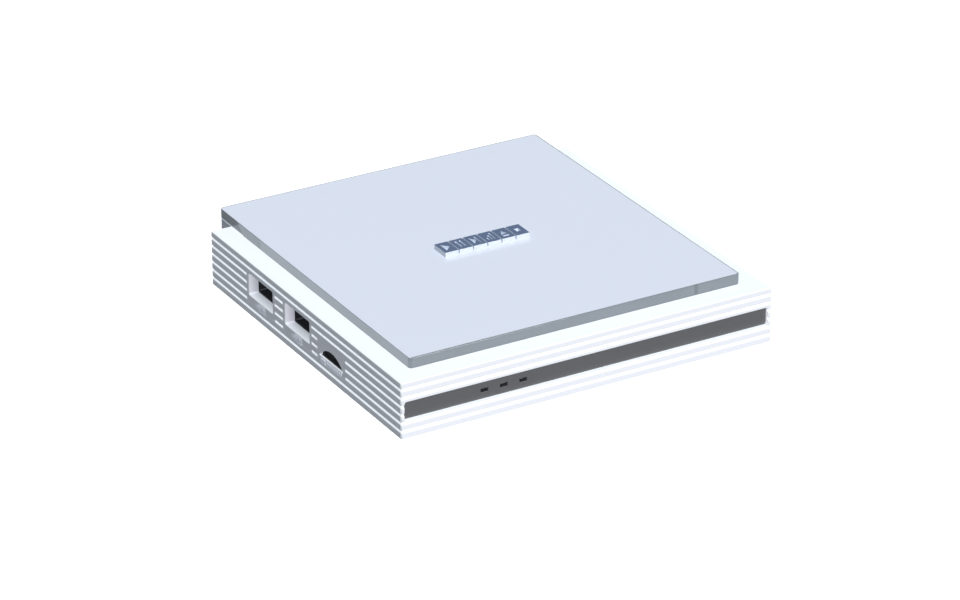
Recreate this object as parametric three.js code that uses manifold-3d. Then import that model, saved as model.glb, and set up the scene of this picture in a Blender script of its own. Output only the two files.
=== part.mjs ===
// A square streaming media player: a ribbed white housing under a clear acrylic plate, with its
// base, rear panel, main board, connectors and their moving pieces. Millimetres, +Z up, the
// infra-red window faces -Y, the USB ports face -X. The origin is the middle of the footprint,
// on the surface that the feet stand on.
import * as THREE from "three";
import { mergeVertices } from "three/addons/utils/BufferGeometryUtils.js";
import Module from "manifold-3d";

const wasm = await Module();
wasm.setup();

// ---------------------------------------------------------------- driving dimensions

const WIDTH = 105;
const BODY_DEPTH = 99;
const REAR_OVERHANG = 6.1; // how far the plate and the rear panel stand out behind the ribs
const FOOT_DROP = 0.8; // how far the feet hold the lowest rib off the table
const RIB_COUNT = 7;
const RIB_PITCH = 2.215;
const RIB_HEIGHT = 1.515;
const GROOVE_DEPTH = 0.62;
const GROOVE_SLOPE = 0.5; // height of the sloping floor of a groove
const CORNER_RADIUS = 0.9;
const EDGE_CHAMFER = 0.15;

const WALL = 2.7;
const BACK_WALL = 2;
const DECK = 1.525;

const PLATE_WIDTH = 93.6;
const PLATE_FRONT_INSET = 5.8;
const PLATE_THICKNESS = 2.8;
const PLATE_CORNER = 1;
const FILM = { thickness: 0.1, margin: 0.6 };
const BADGE = { cell: 3.8, pitch: 4.12, width: 24.4, depth: 5.8, height: 1.25, carrier: 0.15 };
const BADGE_PLACE = [0.5, 0.65];

const BASE_THICKNESS = 1.6;
const BASE_RECESS = 0.3; // how far the base sits above the lower edge of the housing
const FIT = 0.2; // gap round a piece that drops into another

const BOARD_TOP = 6.45;
const BOARD_THICKNESS = 1.2;
const POST_RADIUS = 3.2; // screw posts above and below the board

const VENT = { x: [-18, 18], firstY: -14, pitch: 4, rows: 8, length: 20, width: 1.6 };
const LABEL = { y: -32, width: 44, depth: 16, recess: 0.2 };

const WINDOW = { width: 102.9, height: 4.85, thickness: 1.1, recess: 0.85, drop: 0.27 };
const LIGHT = { firstX: -29.15, pitch: 5.4, width: 2, height: 1, drop: 0.2, slotWidth: 68 };

const USB = { width: 13.1, height: 5.72, length: 14, wall: 0.3, y: [19.4, 0] };
const USB_OPENING = { width: 12.7, height: 5.8 };
const USB_PAD_WIDTH = 15.05;

const CARD = { y: -17.65, width: 11.97, height: 2.8, floor: 5.755, pad: 14.28, lip: 0.45 };

const PANEL = { wall: 1.6, inset: 0.3, doorwayWidth: 88, doorway: [2.8, 14] };
const ETHERNET = { x: -28, width: 15.9, height: 10.9, z: 8.45, depth: 18.25 };
const HDMI = { x: -7, width: 15, height: 5.6, depth: 11.5 };
const AV = { x: 8.5, width: 6.6, height: 5.6, depth: 12.5, bore: 1.8, nose: 3 };
const OPTICAL = { x: 21, size: 9.4, z: 8.4, cavity: 7.8, depth: 15.7 };
const DC = { x: 35, width: 9, height: 8.4, z: 8.8, depth: 12.2, bore: 3.2, nose: 3.9 };

const SCREW = { x: 44.6, inset: 8.2, shank: 1.1, head: 2.1 };
const FOOT = { x: 35.5, inset: 11.5, radius: 4, recess: 0.6 };

// ---------------------------------------------------------------- places worked out from them

const SIDE = WIDTH / 2;
const FRONT = -(BODY_DEPTH + REAR_OVERHANG) / 2;
const BACK = -FRONT;
const BODY_BACK = FRONT + BODY_DEPTH;
const BODY_MIDDLE = (FRONT + BODY_BACK) / 2;
const BODY_BOTTOM = FOOT_DROP;
const DECK_TOP = BODY_BOTTOM + RIB_PITCH * (RIB_COUNT - 1) + RIB_HEIGHT;
const CEILING = DECK_TOP - DECK;
const PLATE_FRONT = FRONT + PLATE_FRONT_INSET;
const PLATE_TOP = DECK_TOP + PLATE_THICKNESS;
const BASE_BOTTOM = BODY_BOTTOM + BASE_RECESS;
const BASE_TOP = BASE_BOTTOM + BASE_THICKNESS;
const BOARD_BOTTOM = BOARD_TOP - BOARD_THICKNESS;
const WINDOW_Z = DECK_TOP - 3 * RIB_PITCH - RIB_HEIGHT / 2 - WINDOW.drop;
const WINDOW_FACE = FRONT + WINDOW.recess;
const LIGHT_Z = WINDOW_Z - LIGHT.drop;
const USB_Z = BOARD_TOP + USB.height / 2;
const PORT_BACK = BACK - 0.35; // where the noses of the rear connectors end
const SCREW_PLACES = [-SCREW.x, SCREW.x].flatMap((x) =>
  [FRONT + SCREW.inset, BODY_BACK - SCREW.inset].map((y) => [x, y]),
);
const FOOT_PLACES = [-FOOT.x, FOOT.x].flatMap((x) =>
  [FRONT + FOOT.inset, BODY_BACK - FOOT.inset].map((y) => [x, y]),
);
const RESET = { x: -22, y: 20 };
const SINK_PINS = [
  [-16.5, -16.5],
  [16.5, 16.5],
];

// ---------------------------------------------------------------- materials

const finish = (color, roughness, metalness = 0) => ({ color, roughness, metalness });
const FINISHES = {
  white: finish(0xf2f3f7, 0.5),
  acrylic: { ...finish(0xd9e2f1, 0.08), transparent: true, opacity: 0.5 },
  film: finish(0xdce5f3, 0.4),
  slate: finish(0x55698c, 0.35),
  smoke: finish(0x3e3f42, 0.25),
  black: finish(0x141519, 0.4),
  panel: finish(0x7c838c, 0.55),
  nickel: finish(0xc4c7ca, 0.3, 1),
  solderMask: finish(0x16513a, 0.45),
  package: finish(0x1c1d20, 0.6),
  aluminium: finish(0xb4b8bc, 0.35, 1),
  ferrite: finish(0x4a4c50, 0.7),
  pad: finish(0x8fa6b8, 0.8),
  rubber: finish(0x26272a, 0.9),
  steel: finish(0x8e9196, 0.35, 1),
  amber: finish(0xf0e6c8, 0.3),
  antenna: finish(0x2b2b2e, 0.5),
};

// ---------------------------------------------------------------- shapes

const GRID = 1e4; // every coordinate is rounded to a tenth of a micron

function toSolid(geometry) {
  const bare = new THREE.BufferGeometry();
  bare.setAttribute("position", geometry.getAttribute("position").clone());
  bare.setIndex(geometry.index ? geometry.index.clone() : null);
  const merged = mergeVertices(bare, 1e-4);
  return new wasm.Manifold(
    new wasm.Mesh({
      numProp: 3,
      vertProperties: new Float32Array(merged.getAttribute("position").array),
      triVerts: new Uint32Array(merged.index.array),
    }),
  );
}

function toGeometry(solid) {
  const { vertProperties, triVerts } = solid.getMesh();
  const rounded = vertProperties.map((v) => Math.round(v * GRID) / GRID);
  const geometry = new THREE.BufferGeometry();
  geometry.setAttribute("position", new THREE.BufferAttribute(rounded, 3));
  geometry.setIndex(new THREE.BufferAttribute(triVerts, 1));
  const faceted = geometry.toNonIndexed();
  faceted.computeVertexNormals();
  return faceted;
}

const join = (...solids) => solids.reduce((whole, piece) => whole.add(piece));
const cut = (solid, ...tools) => tools.reduce((rest, tool) => rest.subtract(tool), solid);

// A box from its lowest to its highest corner.
function box([x0, x1], [y0, y1], [z0, z1]) {
  const geometry = new THREE.BoxGeometry(x1 - x0, y1 - y0, z1 - z0);
  geometry.translate((x0 + x1) / 2, (y0 + y1) / 2, (z0 + z1) / 2);
  return toSolid(geometry);
}

const about = (middle, size) => [middle - size / 2, middle + size / 2];

// A rectangle with rounded corners, about a middle point.
function roundedRect(x, y, width, height, radius) {
  const [left, right] = about(x, width);
  const [low, high] = about(y, height);
  const shape = new THREE.Shape();
  shape.absarc(right - radius, low + radius, radius, -Math.PI / 2, 0);
  shape.absarc(right - radius, high - radius, radius, 0, Math.PI / 2);
  shape.absarc(left + radius, high - radius, radius, Math.PI / 2, Math.PI);
  shape.absarc(left + radius, low + radius, radius, Math.PI, 1.5 * Math.PI);
  shape.closePath();
  return shape;
}

const circle = (x, y, radius) => new THREE.Shape().absarc(x, y, radius, 0, 2 * Math.PI);

function polygon(...points) {
  return new THREE.Shape(points.map(([x, y]) => new THREE.Vector2(x, y)));
}

// An outline pushed up from z0 to z1; `facets` is the number of facets in a half turn, and a
// bevel of [height, inset] leaves out the edge at both ends.
function prismZ(shape, [z0, z1], facets = 4, [bevelHeight, bevelInset] = [0, 0]) {
  const geometry = new THREE.ExtrudeGeometry(shape, {
    depth: z1 - z0 - 2 * bevelHeight,
    curveSegments: facets / 2,
    bevelEnabled: bevelHeight > 0,
    bevelThickness: bevelHeight,
    bevelSize: bevelInset,
    bevelOffset: -bevelInset,
    bevelSegments: 1,
  });
  geometry.translate(0, 0, z0 + bevelHeight);
  return toSolid(geometry);
}

const [X, Y, Z] = [
  new THREE.Vector3(1, 0, 0),
  new THREE.Vector3(0, 1, 0),
  new THREE.Vector3(0, 0, 1),
];

// An outline in (y, z), pushed along X from x0 to x1.
function prismX(shape, [x0, x1], facets = 4) {
  const geometry = new THREE.ExtrudeGeometry(shape, {
    depth: x1 - x0,
    curveSegments: facets / 2,
    bevelEnabled: false,
  });
  geometry.applyMatrix4(new THREE.Matrix4().makeBasis(Y, Z, X));
  geometry.translate(x0, 0, 0);
  return toSolid(geometry);
}

// An outline in (x, z), pushed along Y from y0 to y1.
function prismY(shape, [y0, y1], facets = 4) {
  const geometry = new THREE.ExtrudeGeometry(shape, {
    depth: y1 - y0,
    curveSegments: facets / 2,
    bevelEnabled: false,
  });
  geometry.applyMatrix4(new THREE.Matrix4().makeBasis(X, Z, Y.clone().negate()));
  geometry.translate(0, y1, 0);
  return toSolid(geometry);
}

// A solid turned about Z from a profile of (radius, z) points that starts and ends on the axis.
function turned(points, sides = 20) {
  const profile = points.map(([r, z]) => new THREE.Vector2(r, z));
  const geometry = new THREE.LatheGeometry(profile, sides);
  geometry.applyMatrix4(new THREE.Matrix4().makeBasis(X, Z, Y.clone().negate()));
  return toSolid(geometry);
}

// ---------------------------------------------------------------- the scene graph

const player = new THREE.Group();
const enclosure = new THREE.Group();
const electronics = new THREE.Group();
player.add(enclosure, electronics);

function add(group, name, solid, material, [x, y, z] = [0, 0, 0]) {
  const mesh = new THREE.Mesh(toGeometry(solid), new THREE.MeshStandardMaterial(FINISHES[material]));
  mesh.name = name;
  mesh.position.set(x, y, z);
  group.add(mesh);
}

// ---------------------------------------------------------------- enclosure

const bodyOutline = () => roundedRect(0, BODY_MIDDLE, WIDTH, BODY_DEPTH, CORNER_RADIUS);

// One rib: upright faces, and above them the sloping floor of the groove over it.
function rib(index) {
  const bottom = BODY_BOTTOM + index * RIB_PITCH;
  const top = bottom + RIB_HEIGHT;
  if (index === RIB_COUNT - 1) {
    return join(
      prismZ(bodyOutline(), [bottom, top - EDGE_CHAMFER]),
      prismZ(bodyOutline(), [bottom, top], 4, [EDGE_CHAMFER, EDGE_CHAMFER]),
    );
  }
  return join(
    prismZ(bodyOutline(), [bottom, top]),
    prismZ(bodyOutline(), [bottom, top + GROOVE_SLOPE], 4, [GROOVE_SLOPE, GROOVE_DEPTH]),
  );
}

// A flat pad that fills the grooves round a port, from the rib at index `low` to `high`.
function portPad(y, width, low, high) {
  const flare = 0.35;
  const half = width / 2;
  const outline = polygon(
    [-SIDE, y + half],
    [-SIDE, y - half],
    [-SIDE + GROOVE_DEPTH, y - half - flare],
    [-SIDE + WALL, y - half - flare],
    [-SIDE + WALL, y + half + flare],
    [-SIDE + GROOVE_DEPTH, y + half + flare],
  );
  const bottom = BODY_BOTTOM + low * RIB_PITCH + RIB_HEIGHT / 2;
  const top = BODY_BOTTOM + high * RIB_PITCH + RIB_HEIGHT / 2;
  return prismZ(outline, [bottom, top]);
}

// The card slot's mouth: a flat floor under an arched top.
function cardMouth([x0, x1]) {
  const half = CARD.width / 2;
  const radius = (half * half + CARD.height * CARD.height) / (2 * CARD.height);
  const angle = Math.asin(half / radius);
  const arch = new THREE.Shape();
  arch.absarc(
    CARD.y,
    CARD.floor + CARD.height - radius,
    radius,
    Math.PI / 2 - angle,
    Math.PI / 2 + angle,
  );
  arch.closePath();
  return prismX(arch, [x0, x1], 12);
}

function housing() {
  const inset = 2 * GROOVE_DEPTH;
  const coreOutline = roundedRect(
    0,
    BODY_MIDDLE,
    WIDTH - inset,
    BODY_DEPTH - inset,
    CORNER_RADIUS - GROOVE_DEPTH,
  );
  let shell = prismZ(coreOutline, [BODY_BOTTOM, DECK_TOP - EDGE_CHAMFER]);
  for (let index = 0; index < RIB_COUNT; index += 1) {
    shell = shell.add(rib(index));
  }
  for (const y of USB.y) {
    shell = shell.add(portPad(y, USB_PAD_WIDTH, 1, 5));
  }
  shell = shell.add(portPad(CARD.y, CARD.pad, 1, 4));
  const inside = [-SIDE + WALL, SIDE - WALL];
  const depth = [FRONT + WALL, BODY_BACK - BACK_WALL];
  shell = shell.subtract(box(inside, depth, [BODY_BOTTOM - 1, CEILING]));
  for (const [x, y] of SCREW_PLACES) {
    const boss = prismZ(circle(x, y, POST_RADIUS), [BOARD_TOP, CEILING + 0.5], 16);
    const pilot = prismZ(circle(x, y, SCREW.shank + 0.15), [BOARD_TOP - 1, CEILING - 1], 12);
    shell = shell.add(boss).subtract(pilot);
  }
  for (const y of USB.y) {
    const mouth = roundedRect(y, USB_Z, USB_OPENING.width, USB_OPENING.height, 0.3);
    shell = shell.subtract(prismX(mouth, [-SIDE - 1, -SIDE + WALL + 1]));
  }
  const cardPocket = box(
    [-SIDE + CARD.lip, -SIDE + WALL + 1],
    about(CARD.y, CARD.pad - 0.4),
    [CARD.floor - 0.35, CARD.floor + CARD.height + 0.4],
  );
  const windowPocket = box(
    about(0, WINDOW.width + FIT),
    [FRONT - 1, WINDOW_FACE + WINDOW.thickness],
    about(WINDOW_Z, WINDOW.height + FIT),
  );
  const lightSlot = box(
    about(0, LIGHT.slotWidth),
    [FRONT - 1, FRONT + WALL + 1],
    about(WINDOW_Z, 3.2),
  );
  const rearOpening = box(
    about(0, PANEL.doorwayWidth),
    [BODY_BACK - BACK_WALL - 1, BODY_BACK + 1],
    PANEL.doorway,
  );
  return cut(
    shell,
    cardMouth([-SIDE - 1, -SIDE + WALL + 1]),
    cardPocket,
    windowPocket,
    lightSlot,
    rearOpening,
  );
}

// The outline of the plate, or of the film under it, drawn in by a margin.
function plateOutline(margin) {
  const width = PLATE_WIDTH - 2 * margin;
  const depth = BACK - PLATE_FRONT - 2 * margin;
  return roundedRect(0, (PLATE_FRONT + BACK) / 2, width, depth, Math.max(PLATE_CORNER - margin, 0.4));
}

// The plate stands on the deck by its rim, and the film lies in the shallow recess inside the rim.
function topCover() {
  const plate = prismZ(plateOutline(0), [DECK_TOP, PLATE_TOP], 8, [EDGE_CHAMFER, EDGE_CHAMFER]);
  const recess = prismZ(plateOutline(FILM.margin), [DECK_TOP - 1, DECK_TOP + FILM.thickness]);
  return plate.subtract(recess);
}

const coverFilm = () =>
  prismZ(plateOutline(FILM.margin), [DECK_TOP, DECK_TOP + FILM.thickness]);

// Six raised tiles on a thin carrier, each cut through with a transport sign: play, pause, next,
// level bars, eject and stop.
function badge() {
  const { cell, pitch, depth, height, width, carrier } = BADGE;
  const half = 1.75;
  const bar = (x, across, low = -half, high = half) =>
    polygon([x, low], [x + across, low], [x + across, high], [x, high]);
  const arrow = (x, across) => polygon([x, -half], [x + across, 0], [x, half]);
  const signs = [
    [arrow(1.1, 1.7)],
    [bar(1.05, 0.5), bar(2.25, 0.5)],
    [arrow(0.95, 1.3), bar(2.45, 0.4)],
    [bar(0.85, 0.4, -half, -0.3), bar(1.7, 0.4, -half, 0.8), bar(2.55, 0.4)],
    [polygon([1, -0.5], [2.8, -0.5], [1.9, 1.4]), bar(1, 1.8, -half, -1.2)],
    [bar(1.3, 1.2, -0.8, 0.8)],
  ];
  const tile = roundedRect(cell / 2, 0, cell, depth, 0.2);
  let plate = prismZ(roundedRect(0, 0, width, depth, 0.3), [0, carrier], 2);
  signs.forEach((outlines, index) => {
    const cutters = outlines.map((outline) => prismZ(outline, [0, height + 1]));
    const sign = cut(prismZ(tile, [0, height], 2), ...cutters);
    plate = plate.add(sign.translate([index * pitch - width / 2, 0, 0]));
  });
  return plate;
}

function baseCover() {
  const width = WIDTH - 2 * (WALL + FIT);
  const front = FRONT + WALL + FIT;
  const back = BODY_BACK - BACK_WALL - FIT;
  const edge = roundedRect(0, (front + back) / 2, width, back - front, 0.8);
  let base = prismZ(edge, [BASE_BOTTOM, BASE_TOP]);
  for (const [x, y] of SCREW_PLACES) {
    const post = prismZ(circle(x, y, POST_RADIUS), [BASE_BOTTOM, BOARD_BOTTOM], 16);
    const hole = prismZ(circle(x, y, SCREW.shank + 0.2), [0, BOARD_TOP], 12);
    const counterbore = prismZ(circle(x, y, SCREW.head + 0.3), [0, BASE_BOTTOM + 1.9], 16);
    base = cut(base.add(post), hole, counterbore);
  }
  for (const [x, y] of FOOT_PLACES) {
    const outline = circle(x, y, FOOT.radius + FIT);
    base = base.subtract(prismZ(outline, [0, BASE_BOTTOM + FOOT.recess], 20));
  }
  for (const x of VENT.x) {
    for (let row = 0; row < VENT.rows; row += 1) {
      const slot = roundedRect(x, VENT.firstY + VENT.pitch * row, VENT.length, VENT.width, 0.75);
      base = base.subtract(prismZ(slot, [0, BASE_TOP + 1], 2));
    }
  }
  const labelOutline = roundedRect(0, LABEL.y, LABEL.width, LABEL.depth, 1.5);
  const labelRecess = prismZ(labelOutline, [0, BASE_BOTTOM + LABEL.recess]);
  const pinhole = prismZ(circle(RESET.x, RESET.y, 0.8), [0, BASE_TOP + 1], 12);
  return cut(base, labelRecess, pinhole);
}

// The trapezoid outline of the HDMI shell; `grow` moves it outwards.
function hdmiOutline(grow) {
  const half = HDMI.width / 2 + grow;
  const low = BOARD_TOP - grow;
  const high = BOARD_TOP + HDMI.height + grow;
  return polygon(
    [HDMI.x - half + 2, low],
    [HDMI.x + half - 2, low],
    [HDMI.x + half, low + 1.7],
    [HDMI.x + half, high],
    [HDMI.x - half, high],
    [HDMI.x - half, low + 1.7],
  );
}

const AV_Z = BOARD_TOP + AV.height / 2;

function rearPanel() {
  const width = PLATE_WIDTH - 2 * PANEL.inset;
  const panel = box(about(0, width), [BODY_BACK, BACK], [BODY_BOTTOM, DECK_TOP]);
  const hollow = box(
    about(0, width - 2 * PANEL.wall),
    [BODY_BACK - 1, BACK - PANEL.wall],
    [BODY_BOTTOM + PANEL.wall, DECK_TOP - PANEL.wall],
  );
  const through = [BODY_BACK - 1, BACK + 1];
  const square = roundedRect(OPTICAL.x, OPTICAL.z, OPTICAL.size + 0.4, OPTICAL.size + 0.4, 0.3);
  const lan = roundedRect(
    ETHERNET.x,
    ETHERNET.z,
    ETHERNET.width + 0.4,
    ETHERNET.height + 0.4,
    0.3,
  );
  return cut(
    panel,
    hollow,
    prismY(lan, through),
    prismY(hdmiOutline(0.25), through),
    prismY(circle(AV.x, AV_Z, AV.nose + 0.25), through, 16),
    prismY(square, through),
    prismY(circle(DC.x, DC.z, DC.nose + 0.25), through, 20),
  );
}

const screw = () =>
  turned(
    [
      [0, 0.5],
      [0.6, 0.5],
      [0.8, 0],
      [SCREW.head - 0.2, 0],
      [SCREW.head, 0.2],
      [SCREW.head, 1.3],
      [SCREW.shank, 1.3],
      [SCREW.shank, 10.8],
      [0, 10.8],
    ],
    14,
  );

const foot = () =>
  turned(
    [
      [0, 0],
      [FOOT.radius - 0.5, 0],
      [FOOT.radius, 0.4],
      [FOOT.radius, BASE_BOTTOM + FOOT.recess],
      [0, BASE_BOTTOM + FOOT.recess],
    ],
    24,
  );

function irWindow() {
  const y = [WINDOW_FACE, WINDOW_FACE + WINDOW.thickness];
  let strip = box(about(0, WINDOW.width), y, about(WINDOW_Z, WINDOW.height));
  for (let index = 0; index < 3; index += 1) {
    const x = about(LIGHT.firstX + index * LIGHT.pitch, LIGHT.width + 0.06);
    const hole = box(x, [FRONT, FRONT + 3], about(LIGHT_Z, LIGHT.height + 0.06));
    strip = strip.subtract(hole);
  }
  return strip;
}

add(enclosure, "housing", housing(), "white");
add(enclosure, "top_cover", topCover(), "acrylic");
add(enclosure, "cover_film", coverFilm(), "film");
add(enclosure, "badge", badge(), "slate", [...BADGE_PLACE, PLATE_TOP]);
add(enclosure, "base_cover", baseCover(), "white");
add(enclosure, "rear_io_panel", rearPanel(), "panel");
add(enclosure, "ir_window", irWindow(), "smoke");
SCREW_PLACES.forEach(([x, y], index) => {
  add(enclosure, "case_screw_" + (index + 1), screw(), "steel", [x, y, BASE_BOTTOM + 0.6]);
});
FOOT_PLACES.forEach(([x, y], index) => {
  add(enclosure, "foot_" + (index + 1), foot(), "rubber", [x, y, 0]);
});

// ---------------------------------------------------------------- front lights and receiver

// A light guide: a thin nose that fills its window, and a block behind it that faces the LED.
function lightGuide() {
  const nose = box(about(0, LIGHT.width), [0, 2.7], about(LIGHT_Z, LIGHT.height));
  const block = box(about(0, 2.6), [2.5, 3.7], [BOARD_TOP + 0.15, LIGHT_Z + 0.5]);
  return join(nose, block);
}

function statusLed() {
  const base = box(about(0, 1.6), [0, 0.8], [0, 0.4]);
  const dome = box(about(0, 1.1), [0, 0.8], [0, 0.75]);
  return join(base, dome);
}

function irReceiver() {
  const can = box(about(0, 5.6), [0, 3.4], [0, 6.4]);
  const dome = toSolid(new THREE.SphereGeometry(1.7, 16, 12).translate(0, 0.1, 2.2));
  return join(can, dome);
}

for (let index = 0; index < 3; index += 1) {
  const x = LIGHT.firstX + index * LIGHT.pitch;
  const name = index + 1;
  add(enclosure, "light_guide_" + name, lightGuide(), "black", [x, WINDOW_FACE, 0]);
  add(electronics, "status_led_" + name, statusLed(), "amber", [x, FRONT + 4.8, BOARD_TOP]);
}
add(electronics, "ir_receiver", irReceiver(), "package", [12, FRONT + 5, BOARD_TOP]);

// ---------------------------------------------------------------- main board

const BOARD_FRONT = FRONT + WALL + 0.6;
const BOARD_REAR = 50;

function mainBoard() {
  const side = SIDE - WALL - 0.6;
  const inner = BODY_BACK - BACK_WALL - 0.4;
  const z = [BOARD_BOTTOM, BOARD_TOP];
  const middle = (BOARD_FRONT + inner) / 2;
  const wide = prismZ(roundedRect(0, middle, 2 * side, inner - BOARD_FRONT, 1), z);
  const tail = box(about(0, PANEL.doorwayWidth - 0.8), [inner - 3, BOARD_REAR], z);
  let board = join(wide, tail);
  for (const [x, y] of SCREW_PLACES) {
    board = board.subtract(prismZ(circle(x, y, SCREW.shank + 0.3), [0, 20], 12));
  }
  for (const [x, y] of SINK_PINS) {
    board = board.subtract(prismZ(circle(x, y, 1.3), [0, 20], 12));
  }
  const notch = (port, width) =>
    box(about(port.x, width + 0.4), [PORT_BACK - port.depth - 0.2, BACK], [0, 20]);
  return cut(
    board,
    notch(ETHERNET, ETHERNET.width),
    notch(OPTICAL, OPTICAL.size),
    notch(DC, DC.width),
  );
}

// A chip: a slab with a chamfered upper edge, standing on z = 0.
const chip = (width, depth, height, edge = 0.15) =>
  join(
    box(about(0, width), about(0, depth), [0, height - edge]),
    prismZ(roundedRect(0, 0, width, depth, edge), [0, height], 2, [edge, edge]),
  );

const SINK = { size: 38, base: 1.5, height: 5.3, fins: 13, pitch: 3, fin: 1 };

function heatSink() {
  const { size, base, height, fins, pitch, fin } = SINK;
  let sink = box(about(0, size), about(0, size), [0, base]);
  for (let index = 0; index < fins; index += 1) {
    const x = (index - (fins - 1) / 2) * pitch;
    sink = sink.add(box(about(x, fin), about(0, size), [base - 0.5, height]));
  }
  for (const [x, y] of SINK_PINS) {
    const clearing = prismZ(circle(x, y, 2.4), [base, 6], 16);
    const hole = prismZ(circle(x, y, 1.3), [-1, 6], 12);
    sink = cut(sink, clearing, hole);
  }
  return sink;
}

const SINK_Z = BOARD_TOP + 1.8;

// A push pin: head on the heat sink, shank through it and the board, barb below the board.
const sinkPin = () =>
  turned([
    [0, BOARD_BOTTOM - 1.6],
    [0.8, BOARD_BOTTOM - 1.6],
    [1.7, BOARD_BOTTOM - 0.3],
    [1.15, BOARD_BOTTOM - 0.1],
    [1.15, SINK_Z + 1.6],
    [2.1, SINK_Z + 1.6],
    [2.1, SINK_Z + 2.6],
    [1.6, SINK_Z + 3],
    [0, SINK_Z + 3],
  ], 14);

const can = (radius, height) =>
  turned([
    [0, 0],
    [radius, 0],
    [radius, height - 0.4],
    [radius - 0.4, height],
    [0, height],
  ]);

function inductor() {
  return join(box(about(0, 6.4), about(0, 6.4), [0, 1.2]), chip(6, 6, 3.4, 0.5));
}

function wifiModule() {
  return join(
    box(about(0, 16), about(0, 14), [0, 0.6]),
    prismZ(roundedRect(0, 0, 14.6, 12.6, 0.6), [0, 2.3], 4, [0.2, 0.2]),
  );
}

// A lead run along a smooth curve through the given points.
function lead(points, steps) {
  const curve = new THREE.CatmullRomCurve3(points.map((p) => new THREE.Vector3(...p)));
  const section = circle(0, 0, 0.5);
  return toSolid(
    new THREE.ExtrudeGeometry(section, { steps, curveSegments: 4, extrudePath: curve }),
  );
}

const ANTENNA = { x: SIDE - WALL - 0.9, z: 7.2, length: 26, height: 6, thickness: 0.7 };
const antenna = () => box([0, ANTENNA.thickness], about(0, ANTENNA.length), [0, ANTENNA.height]);
const thermalPad = () => box(about(0, 13), about(0, 13), [0, 0.6]);

add(electronics, "main_board", mainBoard(), "solderMask");
add(electronics, "soc", chip(14, 14, 1.2), "package", [0, 0, BOARD_TOP]);
add(electronics, "thermal_pad", thermalPad(), "pad", [0, 0, BOARD_TOP + 1.2]);
add(electronics, "heat_sink", heatSink(), "aluminium", [0, 0, SINK_Z]);
SINK_PINS.forEach(([x, y], index) => {
  add(electronics, "heat_sink_pin_" + (index + 1), sinkPin(), "white", [x, y, 0]);
});
add(electronics, "ram_1", chip(8, 12, 1), "package", [-13, 0, BOARD_TOP]);
add(electronics, "ram_2", chip(8, 12, 1), "package", [13, 0, BOARD_TOP]);
add(electronics, "flash_memory", chip(11.5, 13, 1), "package", [27, -16, BOARD_TOP]);
add(electronics, "power_manager", chip(6, 6, 0.9), "package", [27, 4, BOARD_TOP]);
add(electronics, "crystal", chip(5, 3.2, 1.1, 0.25), "nickel", [-24.5, -14, BOARD_TOP]);
add(electronics, "inductor_1", inductor(), "ferrite", [27, 15, BOARD_TOP]);
add(electronics, "inductor_2", inductor(), "ferrite", [36, 15, BOARD_TOP]);
add(electronics, "capacitor", can(3.15, 5.8), "aluminium", [37, 25, BOARD_TOP]);
add(electronics, "lan_transformer", chip(15, 9.6, 4.4, 0.3), "package", [-28, 23, BOARD_TOP]);
add(electronics, "wifi_module", wifiModule(), "nickel", [-26, -32, BOARD_TOP]);
add(electronics, "antenna_front", antenna(), "antenna", [ANTENNA.x, -26, ANTENNA.z]);
add(electronics, "antenna_rear", antenna(), "antenna", [ANTENNA.x, 6, ANTENNA.z]);
const leadHeight = BOARD_TOP + 3.2;
add(
  electronics,
  "antenna_lead_front",
  lead(
    [
      [-20, -35.5, BOARD_TOP + 2.9],
      [-12, -38, leadHeight],
      [6, -39, leadHeight],
      [26, -38, leadHeight],
      [40, -34, leadHeight],
      [ANTENNA.x - 0.8, -27, leadHeight + 1],
    ],
    26,
  ),
  "black",
);
add(
  electronics,
  "antenna_lead_rear",
  lead(
    [
      [-20, -29.5, BOARD_TOP + 2.9],
      [-12, -30, leadHeight],
      [8, -31.5, leadHeight],
      [28, -30, leadHeight],
      [40, -20, leadHeight],
      [44, -6, leadHeight],
      [ANTENNA.x - 0.8, 5, leadHeight + 1],
    ],
    30,
  ),
  "black",
);

// ---------------------------------------------------------------- USB and card sockets

// Local to a socket: x = 0 at the mouth and +x inwards, y across, z = 0 on the board.
function usbShell() {
  const outer = roundedRect(0, USB.height / 2, USB.width, USB.height, 0.5);
  const inner = roundedRect(
    0,
    USB.height / 2,
    USB.width - 2 * USB.wall,
    USB.height - 2 * USB.wall,
    0.25,
  );
  return cut(prismX(outer, [0, USB.length]), prismX(inner, [-1, USB.length + 1]));
}

function usbTongue() {
  const slack = 2 * (USB.wall + 0.08);
  const outline = roundedRect(0, USB.height / 2, USB.width - slack, USB.height - slack, 0.3);
  const block = prismX(outline, [USB.length - 3, USB.length - 0.2]);
  const tongue = box([1, USB.length - 2.5], about(0, 11.1), [3, 4.84]);
  return join(block, tongue);
}

USB.y.forEach((y, index) => {
  const place = [-SIDE + WALL + 0.1, y, BOARD_TOP];
  add(electronics, "usb_shell_" + (index + 1), usbShell(), "nickel", place);
  add(electronics, "usb_tongue_" + (index + 1), usbTongue(), "black", place);
});

const SOCKET = {
  x: -SIDE + WALL + 0.1,
  length: 14.5,
  tray: 0.5,
  height: 1.65,
  lane: 11.2,
  sliderLane: 1.65,
  wall: 0.7,
};

// The card lies in the wide lane; the slider runs in the narrow lane beside it.
function cardSocketBody() {
  const low = -SOCKET.lane / 2 - SOCKET.wall;
  const high = SOCKET.lane / 2 + SOCKET.sliderLane + SOCKET.wall;
  const block = box([0, SOCKET.length], [low, high], [0, SOCKET.height]);
  const lanes = box(
    [-1, SOCKET.length - 0.6],
    [low + SOCKET.wall, high - SOCKET.wall],
    [SOCKET.tray, SOCKET.height + 1],
  );
  return block.subtract(lanes);
}

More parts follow.
